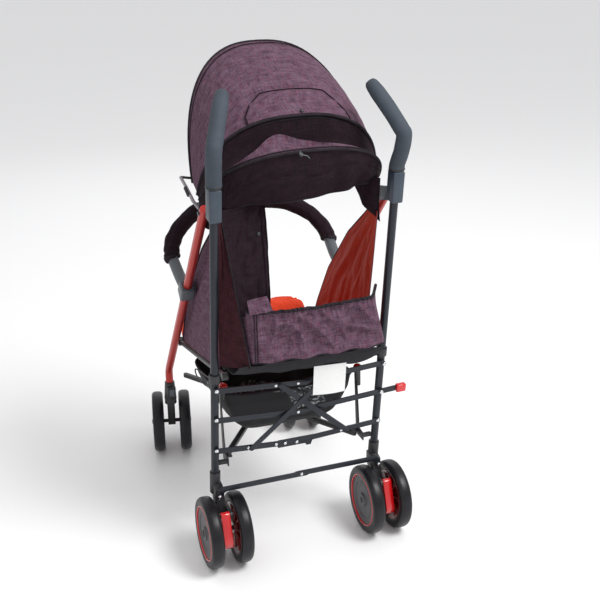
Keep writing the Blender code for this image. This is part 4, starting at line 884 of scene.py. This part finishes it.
def basket_wall(u, v):
    """The bag's wall: a share of the way round and a share of the way down."""
    turn = 2 * math.pi * u
    spot = v * (len(BASKET_ROWS) - 1)
    index = min(int(spot), len(BASKET_ROWS) - 2)
    point = basket_ring(BASKET_ROWS[index], turn).lerp(basket_ring(BASKET_ROWS[index + 1], turn), spot - index)
    sag = 0.0045 * ripple(math.cos(turn) * 5, math.sin(turn) * 5 + v * 2.0, 6.0) * math.sin(math.pi * min(v, 0.96))
    rim = -0.008 * abs(math.cos(2 * turn)) ** 4 * (1 - v) * 0.4
    inward = Vector((-math.cos(turn), -math.sin(turn), 0.0))
    return point + inward * (0.002 + abs(sag)) + Vector((0.0, 0.0, rim))


def build_basket():
    """The bag under the seat, with its walls, its sagging bottom and its bound rim."""
    columns, rows, floor_rings = 160, 30, 8
    floor_height = BASKET_ROWS[-1][0]
    bm = bmesh.new()
    rings = [[bm.verts.new(basket_wall(column / columns, row / rows)) for column in range(columns)]
             for row in range(rows + 1)]
    centre = Vector((0.0, 0.0625, floor_height))
    for step in range(1, floor_rings + 1):
        share = 1 - step / (floor_rings + 1)
        ring = []
        for vertex in rings[rows]:
            spot = centre + (vertex.co - centre) * share
            spot.z = floor_height - 0.0016 * (1 - share) + 0.0015 * abs(ripple(spot.x * 30, spot.y * 30, 2.0))
            ring.append(bm.verts.new(spot))
        rings.append(ring)
    for upper, lower in zip(rings, rings[1:]):
        for index in range(columns):
            after = (index + 1) % columns
            bm.faces.new((upper[index], lower[index], lower[after], upper[after]))
    middle = bm.verts.new(centre + Vector((0.0, 0.0, -0.0012)))
    for index in range(columns):
        bm.faces.new((rings[-1][index], middle, rings[-1][(index + 1) % columns]))
    mesh = bpy.data.meshes.new("basket_bag")
    bmesh.ops.recalc_face_normals(bm, faces=bm.faces)
    bm.to_mesh(mesh)
    bm.free()
    obj = linked("basket_bag", mesh)
    solid = obj.modifiers.new("wall", "SOLIDIFY")
    solid.thickness = stroller().cloth_thickness
    solid.offset = 0.0
    paint(obj, "basket")
    apply_all(obj)
    smooth(obj, 60.0)
    place_piece(obj, "basket_bag", BODY_OF["basket"], ("basket",))
    squeeze(obj)
    rim = along(basket_wall, 120, v=0.0, shift=(0.0, 0.0, 0.0006))[:-1]
    tube("basket_rim", rim, 0.0034, "binding", BODY_OF["basket"], sides=3, closed=True, fold=BASKET_FOLD)


# The bumper bar
def bumper_route():
    """Middle line of the bumper bar, from its left end to its right one."""
    half = [(0.2005, -0.0645, 0.6245), (0.2000, -0.0680, 0.6290), (0.190, -0.092, 0.654), (0.162, -0.114, 0.684),
            (0.115, -0.142, 0.706), (0.055, -0.160, 0.713), (0.0, -0.165, 0.714)]
    other = [(-x, y, z) for x, y, z in reversed(half[:-1])]
    return spline_through(half + other, 14)


def build_bumper():
    """The soft sleeve over the bumper, wrinkled across, with its bound black ends."""
    route = bumper_route()
    body = BODY_OF["bumper_bar"]
    last = len(route) - 1
    ends = 7
    covered = range(ends - 2, last - ends + 3)
    radii = [0.985 + 0.022 * math.sin(index / last * 120) + 0.06 * ripple(index / last * 26, 0.0, 4.0)
             for index in covered]
    # The sleeve is the darker copy of the plum cloth: painted shade.
    sleeve = tube("bumper_sleeve", [route[index] for index in covered], stroller().sleeve_radius, "plum_dark",
                  body, ("bumper_bar",), sides=14, radii=radii)
    squeeze(sleeve)
    for name, part in (("left", route[:ends + 1]), ("right", route[last - ends:])):
        tube("bumper_cuff_" + name, part, 0.0205, "binding", body, sides=12, fold=HOOD_FOLD)
    for vertex in sleeve.data.vertices:
        share = vertex.co.x * 21
        bump = 0.0022 * crease(share + vertex.co.z * 12, vertex.co.y * 20 + vertex.co.z * 9, 11.0, 2.5)
        vertex.co -= vertex.normal * bump
    seam = [point + Vector((0.0, 0.002, -0.0190)) for point in route[ends:last - ends + 1]]
    tube("bumper_seam", seam, 0.0012, "plum_dark", body, sides=2, fold=HOOD_FOLD)


# Wheels and knobs
def revolve(name, section, steps):
    """Turns a closed section of (radius, across) points about the X axis."""
    mesh = bpy.data.meshes.new(name)
    count = len(section)
    mesh.from_pydata([(across, 0.0, radius) for radius, across in section],
                     [(index, (index + 1) % count) for index in range(count)], [])
    obj = linked(name, mesh)
    screw = obj.modifiers.new("turned", "SCREW")
    screw.axis = "X"
    screw.steps = steps
    screw.render_steps = steps
    screw.use_merge_vertices = True
    screw.merge_threshold = 0.00001
    apply_all(obj)
    edit(obj, (bpy.ops.mesh.remove_doubles, {"threshold": MERGE_DISTANCE}),
         (bpy.ops.mesh.normals_make_consistent, {"inside": False}))
    return obj


def curve_section(points, steps=3):
    """A closed rounded section through the given corners."""
    corners = [Vector((*point, 0.0)) for point in (points[-1], *points, *points[:2])]
    route = [blend_knots(*corners[index:index + 4], step / steps)
             for index in range(len(points)) for step in range(steps)]
    return [(spot.x, spot.y) for spot in route]


# Closed sections of the wheels' parts, as (radius, across) points
TYRE_SIDE = [(0.0816, 0.0060), (0.0800, 0.0108), (0.0766, 0.0141), (0.0715, 0.0149), (0.0650, 0.0143),
             (0.0612, 0.0120), (0.0600, 0.0060)]
TYRE_SECTION = [(0.0819, 0.0), *TYRE_SIDE, *((radius, -across) for radius, across in reversed(TYRE_SIDE))]
RING_SECTION = [(0.0628, 0.0128), (0.0622, 0.0143), (0.0604, 0.0143), (0.0596, 0.0120), (0.0600, 0.0090),
                (0.0626, 0.0090)]
DISC_SECTION = [(0.0600, 0.0110), (0.0560, 0.0118), (0.0300, 0.0090), (0.0170, 0.0098), (0.0150, 0.0140),
                (0.0090, 0.0148), (0.0056, 0.0146), (0.0056, 0.0040), (0.0300, 0.0040), (0.0600, 0.0050)]
DISH_SECTION = [(0.0596, -0.0128), (0.0560, -0.0110), (0.0480, -0.0060), (0.0200, -0.0030), (0.0150, -0.0060),
                (0.0140, -0.0140), (0.0056, -0.0140), (0.0056, 0.0036), (0.0300, 0.0036), (0.0596, 0.0030)]


def build_wheel(node, side):
    """One wheel: tyre, red ring, plain outer disc, ribbed red inner dish and an end cap."""
    low, high = node_box(node)
    centre = (low + high) / 2
    body = BODY_OF[node]
    outer = "outer" in node
    face = side if outer else -side
    turn = Matrix.Rotation(CASTER_TURN if node.startswith("front") else 0.0, 4, "Z")
    place = Matrix.Translation(centre) @ turn @ Matrix.Rotation(0.0 if face > 0 else math.pi, 4, "Z")
    for name, section, steps, finish, nodes in (("_tyre", curve_section(TYRE_SECTION), 112, "tyre", (node,)),
                                                ("_ring", curve_section(RING_SECTION), 96, "red", ()),
                                                ("_disc", DISC_SECTION, 72, "disc", ()),
                                                ("_dish", DISH_SECTION, 72, "deep_red", ())):
        obj = revolve(node + name, section, steps)
        obj.data.transform(place)
        smooth(obj, 45.0)
        paint(obj, finish)
        place_piece(obj, obj.name, body, nodes)
    build_ribs(node, place)
    outward = turn @ Vector((face, 0.0, 0.0))
    proud, radius, flat = (0.0150, 0.0085, 0.35) if outer else (0.0148, 0.0080, 0.25)
    dome(node + "_cap", centre + outward * proud, outward, radius, "black", body, flat)
    across, reach, steps = 0.0106, 0.0440, 64
    spins = [math.tau * step / steps for step in range(steps)]
    line = [centre + turn @ Vector((face * across, reach * math.cos(spin), reach * math.sin(spin))) for spin in spins]
    tube(node + "_disc_line", line, 0.0008, "disc", body, sides=2, closed=True)


def build_ribs(node, place):
    """The ten ribs of a wheel's inner dish, joined into one piece."""
    ribs = []
    for index in range(10):
        rib = primitive(bpy.ops.mesh.primitive_cube_add, size=1.0)
        rib.data.transform(Matrix.Rotation(math.tau * index / 10, 4, "X")
                           @ Matrix.Translation((-0.0068, 0.0, 0.0340))
                           @ Matrix.Diagonal((0.0068, 0.0016, 0.0400, 1.0)))
        ribs.append(rib)
    activate(ribs[0])
    for rib in ribs:
        rib.select_set(True)
    bpy.ops.object.join()
    spokes = ribs[0]
    spokes.data.transform(place)
    round_edges(spokes, 0.0004)
    paint(spokes, "deep_red")
    place_piece(spokes, node + "_ribs", BODY_OF[node])


def build_knob(name, spots):
    """A red knob on a tapered black neck beside the seat."""
    body = "side_" + name
    start, end = (Vector(spot) for spot in spots)
    shares = [step / 10 for step in range(11)]
    route = [start.lerp(end, share) for share in shares]
    radii = [1.0 - 0.35 * share for share in shares]
    tube("recline_neck_" + name, route, 0.0070, "black", body, sides=8, radii=radii)
    head = [start + (start - end).normalized() * (0.010 - 0.0022 * step) for step in range(6)]
    tube("recline_knob_" + name, head, 0.0095, "red", body, sides=10, radii=[0.55, 0.9, 1.0, 1.0, 0.95, 0.8])


# Rivets, levers and grips. The rivets part way along the bars: which bar, its side and their places across
BAR_RIVETS = (("upper", "left", (0.0614, 0.0090)), ("middle", "left", (0.0300, 0.0060)),
              ("lock", "left", (0.1226, 0.0565, 0.0351, 0.0067)), ("lock", "right", (-0.1041,)))
BEHIND = Vector((0.0, math.cos(TUBE_LEAN), -math.sin(TUBE_LEAN)))


def build_rivets():
    """Bright rivet heads at the linkage's pivots."""
    for name, height in BAR_HEIGHTS.items():
        for side, word in SIDES:
            rear = node_box(name + "_bar_" + word)[1].y + 0.0002
            spot = Vector((side * TUBE_X, rear, on_tube(height)[1]))
            dome("%s_rivet_%s" % (name, word), spot, BEHIND, stroller().rivet_radius, "silver", "side_" + word)
    for name, x, height, behind, radius, body in (
            ("left", TUBE_X, -0.004, 0.0402, 0.0052, "side_left"),
            ("right", -TUBE_X, -0.004, 0.0374, 0.0052, "side_right"),
            ("middle", 0.0, 0.014, 0.0376, 0.0040, "foot_bar_left")):
        dome("foot_rivet_" + name, Vector((x, *on_tube(height, behind))), BEHIND, radius, "silver", body)


def build_hood_levers():
    """The hood's jointed levers: two grey links at each side, with a dark thumb piece and a tab to the cloth."""
    for side, word in SIDES:
        foot, low, bend, top = (Vector((side * x, y, z)) for x, y, z in HOOD_LEVER)
        thumb = low.lerp(bend, 0.62) + Vector((0.0054 * side, 0.0, 0.0))
        for name, points, radius, finish in (
                ("hood_lever_", [foot, low, low.lerp(bend, 0.94)], 0.0038, "zinc"),
                ("hood_lever_tip_", [low.lerp(bend, 0.90), bend, top], 0.0034, "zinc"),
                ("hood_lever_tab_", [top, top + Vector((-0.026 * side, 0.004, -0.004))], 0.0028, "black"),
                ("hood_lever_thumb_", [thumb.lerp(low, 0.4), thumb.lerp(bend, 0.6)], 0.0042, "black")):
            tube(name + word, points, radius, finish, "hood_front", sides=3, fold=HOOD_FOLD)


def build_bar_details():
    """Rivets part way along the bars, the wire hook at the left, and the red pad on the fold pedal."""
    for name, word, places in BAR_RIVETS:
        behind = 0.0157 if word == "left" else 0.0129
        for index, x in enumerate(places):
            height = BAR_HEIGHTS[name] - 0.014 * (1 - abs(x) / TUBE_X)
            dome("%s_bar_rivet_%s_%d" % (name, word, index + 1), Vector((x, *on_tube(height, behind))), BEHIND,
                 0.0040, "silver", "%s_bar_%s" % (name, word))
    pad_cap = primitive(bpy.ops.mesh.primitive_cube_add, size=1.0)
    pad_cap.data.transform(Matrix.Translation((-0.2475, *on_tube(0.1905, 0.0133)))
                           @ Matrix.Rotation(-TUBE_LEAN, 4, "X") @ Matrix.Diagonal((0.0235, 0.0125, 0.0195, 1.0)))
    round_edges(pad_cap, 0.0025, 3)
    paint(pad_cap, "red")
    place_piece(pad_cap, "fold_pedal_pad", "middle_bar_right")
    hook = [(0.1870, 0.186, 0.392), (0.1900, 0.150, 0.384), (0.1905, 0.085, 0.376), (0.1880, 0.060, 0.382),
            (0.1860, 0.085, 0.390), (0.1840, 0.150, 0.404), (0.1830, 0.186, 0.410)]
    tube("wire_hook", spline_through(hook, 6), 0.0016, "black", "side_left", sides=3)


def node_box(node):
    """The two far corners of the box round a node."""
    source = frame["nodes"][node]
    corners = [source.matrix_world @ vertex.co for vertex in source.data.vertices]
    return [Vector([limit(corner[axis] for corner in corners) for axis in range(3)]) for limit in (min, max)]


def build_grip(side, name):
    """Foam grip: a soft rounded tube with its end ring."""
    body = BODY_OF["handle_grip_" + name]
    start = Vector((side * TUBE_X, *on_tube(0.7276)))
    lean = Vector((0.0, math.sin(TUBE_LEAN), math.cos(TUBE_LEAN)))
    bend = start + Vector((side * 0.006, 0.030, 0.080))
    tip = start + Vector((side * -0.040, -0.055, 0.175))
    rise = start + lean * 0.012
    knots = [start, rise, rise.lerp(bend, 0.45), bend.lerp(rise, 0.16) * 0.72 + bend.lerp(tip, 0.16) * 0.28,
             bend.lerp(rise, 0.20) * 0.28 + bend.lerp(tip, 0.20) * 0.72, bend.lerp(tip, 0.5), tip]
    route = spline_through(knots, 8)
    last = len(route) - 1
    radii = []
    for index in range(last + 1):
        close = (last - index) / last
        radii.append((0.62 + 0.38 * min(1.0, close * 12) ** 0.5) * (1.0 - 0.009 * math.sin(index * 0.9)))
    tube("grip_foam_" + name, route, stroller().grip_radius, "grip", body, ("handle_grip_" + name,), sides=16,
         radii=radii)
    ring = [start + lean * (0.0002 + 0.0014 * step) for step in range(4)]
    tube("grip_ring_" + name, ring, 0.0172, "black", body, sides=12, radii=[0.96, 1.0, 1.0, 0.96])


# Finish and edge radius of the rigid nodes, by the first words of their names
DRESS = {
    "rear_tube": ("steel_dark", 0.0), "handle_bracket": ("bracket", 0.0020), "wheel_foot": ("black", 0.0010),
    "front_leg": ("red_paint", 0.0), "caster_housing": ("black", 0.0012), "swivel_button": ("grey", 0.0012),
    "caster_fork": ("black", 0.0014), "brake_pedal": ("red", 0.0010), "upper_bar": ("steel_dark", 0.0007),
    "lock_bar": ("steel_dark", 0.0007), "middle_bar": ("steel_dark", 0.0007), "cross_bar": ("steel_dark", 0.0007),
    "foot_bar": ("steel_dark", 0.0007), "collar": ("black", 0.0010), "seat_tube": ("black", 0.0),
    "hanger_plate": ("black", 0.0008), "rail_yoke": ("black", 0.0006), "cross_rail": ("black", 0.0010),
    "bumper_socket": ("grey", 0.0018),
}


def build_frame_pieces():
    """Every rigid piece of the frame, the grips and the rear bow."""
    for node in frame["nodes"]:
        for word, (finish, width) in DRESS.items():
            if node.startswith(word):
                dress(node, finish, width)
    for side, name in SIDES:
        build_grip(side, name)
    dress("rear_bows", "binding", 0.0006, HOOD_FOLD)


def build_wheels():
    for node in frame["nodes"]:
        if "wheel_outer" in node or "wheel_inner" in node:
            build_wheel(node, 1 if node.endswith("left") else -1)


def build_hood():
    build_hood_canopy()
    build_pocket()
    build_hood_rear()
    build_hood_levers()


def build_seat():
    build_cushion()
    build_backrest()
    build_back_band()
    for side, name in SIDES:
        build_side_wall(side, name)
    build_strip()
    build_knob("left", ((0.1750, 0.252, 0.4200), (0.1760, 0.244, 0.3860)))
    build_knob("right", ((-0.1410, 0.262, 0.4180), (-0.1480, 0.254, 0.3720)))


# Stage
def build_stage():
    """The floor, the studio's light and the camera."""
    floor = primitive(bpy.ops.mesh.primitive_plane_add, size=stroller().floor_size)
    floor.name = "floor"
    floor.data.materials.append(Finish("floor", tuple(stroller().floor), 0.55).material)
    build_world()
    for name, place, aim, size, power in (("key", (-1.4, 2.0, 3.5), (0.0, 0.0, 0.6), 1.6, 112.0),
                                          ("fill", (2.8, 1.2, 1.8), (0.0, 0.0, 0.5), 2.4, 4.0),
                                          ("front", (-0.6, -3.0, 2.2), (0.0, 0.0, 0.6), 2.4, 10.0)):
        data = bpy.data.lights.new(name, "AREA")
        data.shape = "DISK"
        data.size = size
        data.energy = power
        light = linked(name, data)
        light.location = place
        light.rotation_euler = (Vector(aim) - Vector(place)).to_track_quat("-Z", "Y").to_euler()
    build_camera()


def build_world():
    """Soft grey light, and white wherever the camera or a clear surface looks straight at it."""
    world = bpy.data.worlds.new("studio")
    bpy.context.scene.world = world
    world.use_nodes = True
    nodes, links = world.node_tree.nodes, world.node_tree.links
    nodes.clear()
    path = nodes.new("ShaderNodeLightPath")
    either = nodes.new("ShaderNodeMath")
    either.operation = "MAXIMUM"
    mix = nodes.new("ShaderNodeMixShader")
    output = nodes.new("ShaderNodeOutputWorld")
    for ray, socket in zip(("Is Camera Ray", "Is Transmission Ray"), either.inputs):
        links.new(path.outputs[ray], socket)
    links.new(either.outputs[0], mix.inputs[0])
    for colour, socket in (((0.74, 0.74, 0.75, 1.0), mix.inputs[1]), ((1.0, 1.0, 1.0, 1.0), mix.inputs[2])):
        background = nodes.new("ShaderNodeBackground")
        background.inputs["Color"].default_value = colour
        links.new(background.outputs[0], socket)
    links.new(mix.outputs[0], output.inputs["Surface"])


def build_camera():
    """The photograph's view of the stroller, from behind, above and a little to its left."""
    data = bpy.data.cameras.new("photo_view")
    data.lens = 60.5
    data.sensor_width = 36.0
    camera = linked("photo_view", data)
    camera.location = (0.700, 2.172, 1.402)
    facing = Vector((-0.3215, -0.8738, -0.3649)).to_track_quat("-Z", "Y")
    camera.rotation_euler = (facing.to_matrix() @ Matrix.Rotation(math.radians(-0.43), 3, "Z")).to_euler()
    bpy.context.scene.camera = camera
    bpy.context.scene.view_settings.view_transform = "Standard"


# The add-on
class StrollerSettings(bpy.types.PropertyGroup):
    """Colours of the cloth, paint, foam and floor, and the sizes of what dresses the frame"""
    plum: bpy.props.FloatVectorProperty(name="Plum", description="Dark thread of the plum cloth",
                                        subtype="COLOR", size=3, default=(0.030, 0.011, 0.022))
    lining: bpy.props.FloatVectorProperty(name="Lining", description="Red-orange inside of the cloth",
                                          subtype="COLOR", size=3, default=(0.330, 0.026, 0.012))
    seat: bpy.props.FloatVectorProperty(name="Seat", description="Orange-red cloth of the seat and backrest",
                                        subtype="COLOR", size=3, default=(0.740, 0.052, 0.016))
    frame: bpy.props.FloatVectorProperty(name="Frame", description="Dark blue-grey paint of the rear frame",
                                         subtype="COLOR", size=3, default=(0.014, 0.017, 0.024))
    leg: bpy.props.FloatVectorProperty(name="Front legs", description="Red paint of the two front legs",
                                       subtype="COLOR", size=3, default=(0.380, 0.020, 0.014))
    grip: bpy.props.FloatVectorProperty(name="Grips", description="Foam of the two handles",
                                        subtype="COLOR", size=3, default=(0.036, 0.047, 0.062))
    floor: bpy.props.FloatVectorProperty(name="Floor", description="Pale studio floor", subtype="COLOR",
                                         size=3, default=(0.94, 0.94, 0.94))
    cloth_thickness: bpy.props.FloatProperty(name="Cloth", description="Thickness of the hood's and walls' cloth",
                                             unit="LENGTH", default=0.0016, min=0.0004, precision=4)
    grip_radius: bpy.props.FloatProperty(name="Grip radius", description="Radius of the foam grips",
                                         unit="LENGTH", default=0.0165, min=0.012, precision=4)
    sleeve_radius: bpy.props.FloatProperty(name="Sleeve radius", description="Radius of the bumper bar's sleeve",
                                           unit="LENGTH", default=0.0200, min=0.012, precision=4)
    rivet_radius: bpy.props.FloatProperty(name="Rivet radius", description="Radius of the linkage's rivet heads",
                                          unit="LENGTH", default=0.0048, min=0.002, precision=4)
    floor_size: bpy.props.FloatProperty(name="Floor size", description="Width of the studio floor",
                                        unit="LENGTH", default=48.0, min=2.0)


class DressFrame(bpy.types.Operator):
    """Build the painted tubes, bars, plastic fittings and foam grips"""
    bl_idname = "stroller.dress_frame"
    bl_label = "Frame"

    def execute(self, context):
        build_frame_pieces()
        build_rivets()
        build_bar_details()
        return {"FINISHED"}


class BuildWheels(bpy.types.Operator):
    """Build the eight wheels"""
    bl_idname = "stroller.build_wheels"
    bl_label = "Wheels"

    def execute(self, context):
        build_wheels()
        return {"FINISHED"}


class BuildHood(bpy.types.Operator):
    """Build the canopy, its flap, the recess, the rear curtain and the levers"""
    bl_idname = "stroller.build_hood"
    bl_label = "Hood"

    def execute(self, context):
        build_hood()
        return {"FINISHED"}


class BuildSeat(bpy.types.Operator):
    """Build the seat pad, backrest, band, side walls and window strip"""
    bl_idname = "stroller.build_seat"
    bl_label = "Seat"

    def execute(self, context):
        build_seat()
        return {"FINISHED"}


class BuildCarriers(bpy.types.Operator):
    """Build the basket under the seat and the bumper bar's sleeve"""
    bl_idname = "stroller.build_carriers"
    bl_label = "Basket and bumper"

    def execute(self, context):
        build_basket()
        build_bumper()
        return {"FINISHED"}


class BuildStage(bpy.types.Operator):
    """Build the floor, the light and the camera"""
    bl_idname = "stroller.build_stage"
    bl_label = "Stage"

    def execute(self, context):
        build_stage()
        return {"FINISHED"}


OPERATORS = (DressFrame, BuildWheels, BuildHood, BuildSeat, BuildCarriers, BuildStage)


class StrollerPanel(bpy.types.Panel):
    """Sidebar panel with the colours and sizes and one button for each group of pieces"""
    bl_idname = "VIEW3D_PT_stroller"
    bl_label = "Stroller"
    bl_space_type = "VIEW_3D"
    bl_region_type = "UI"
    bl_category = "Stroller"

    def draw(self, context):
        settings = context.scene.stroller
        for name in StrollerSettings.__annotations__:
            self.layout.prop(settings, name)
        for operator in OPERATORS:
            self.layout.operator(operator.bl_idname)


CLASSES = (StrollerSettings, *OPERATORS, StrollerPanel)


def register():
    for cls in CLASSES:
        bpy.utils.register_class(cls)
    bpy.types.Scene.stroller = bpy.props.PointerProperty(type=StrollerSettings)


def unregister():
    del bpy.types.Scene.stroller
    for cls in reversed(CLASSES):
        bpy.utils.unregister_class(cls)


def main():
    """Builds every piece and the stage."""
    register()
    make_finishes(stroller())
    bpy.ops.stroller.dress_frame()
    bpy.ops.stroller.build_wheels()
    bpy.ops.stroller.build_hood()
    bpy.ops.stroller.build_seat()
    bpy.ops.stroller.build_carriers()
    bpy.ops.stroller.build_stage()


if __name__ == "__main__":
    main()
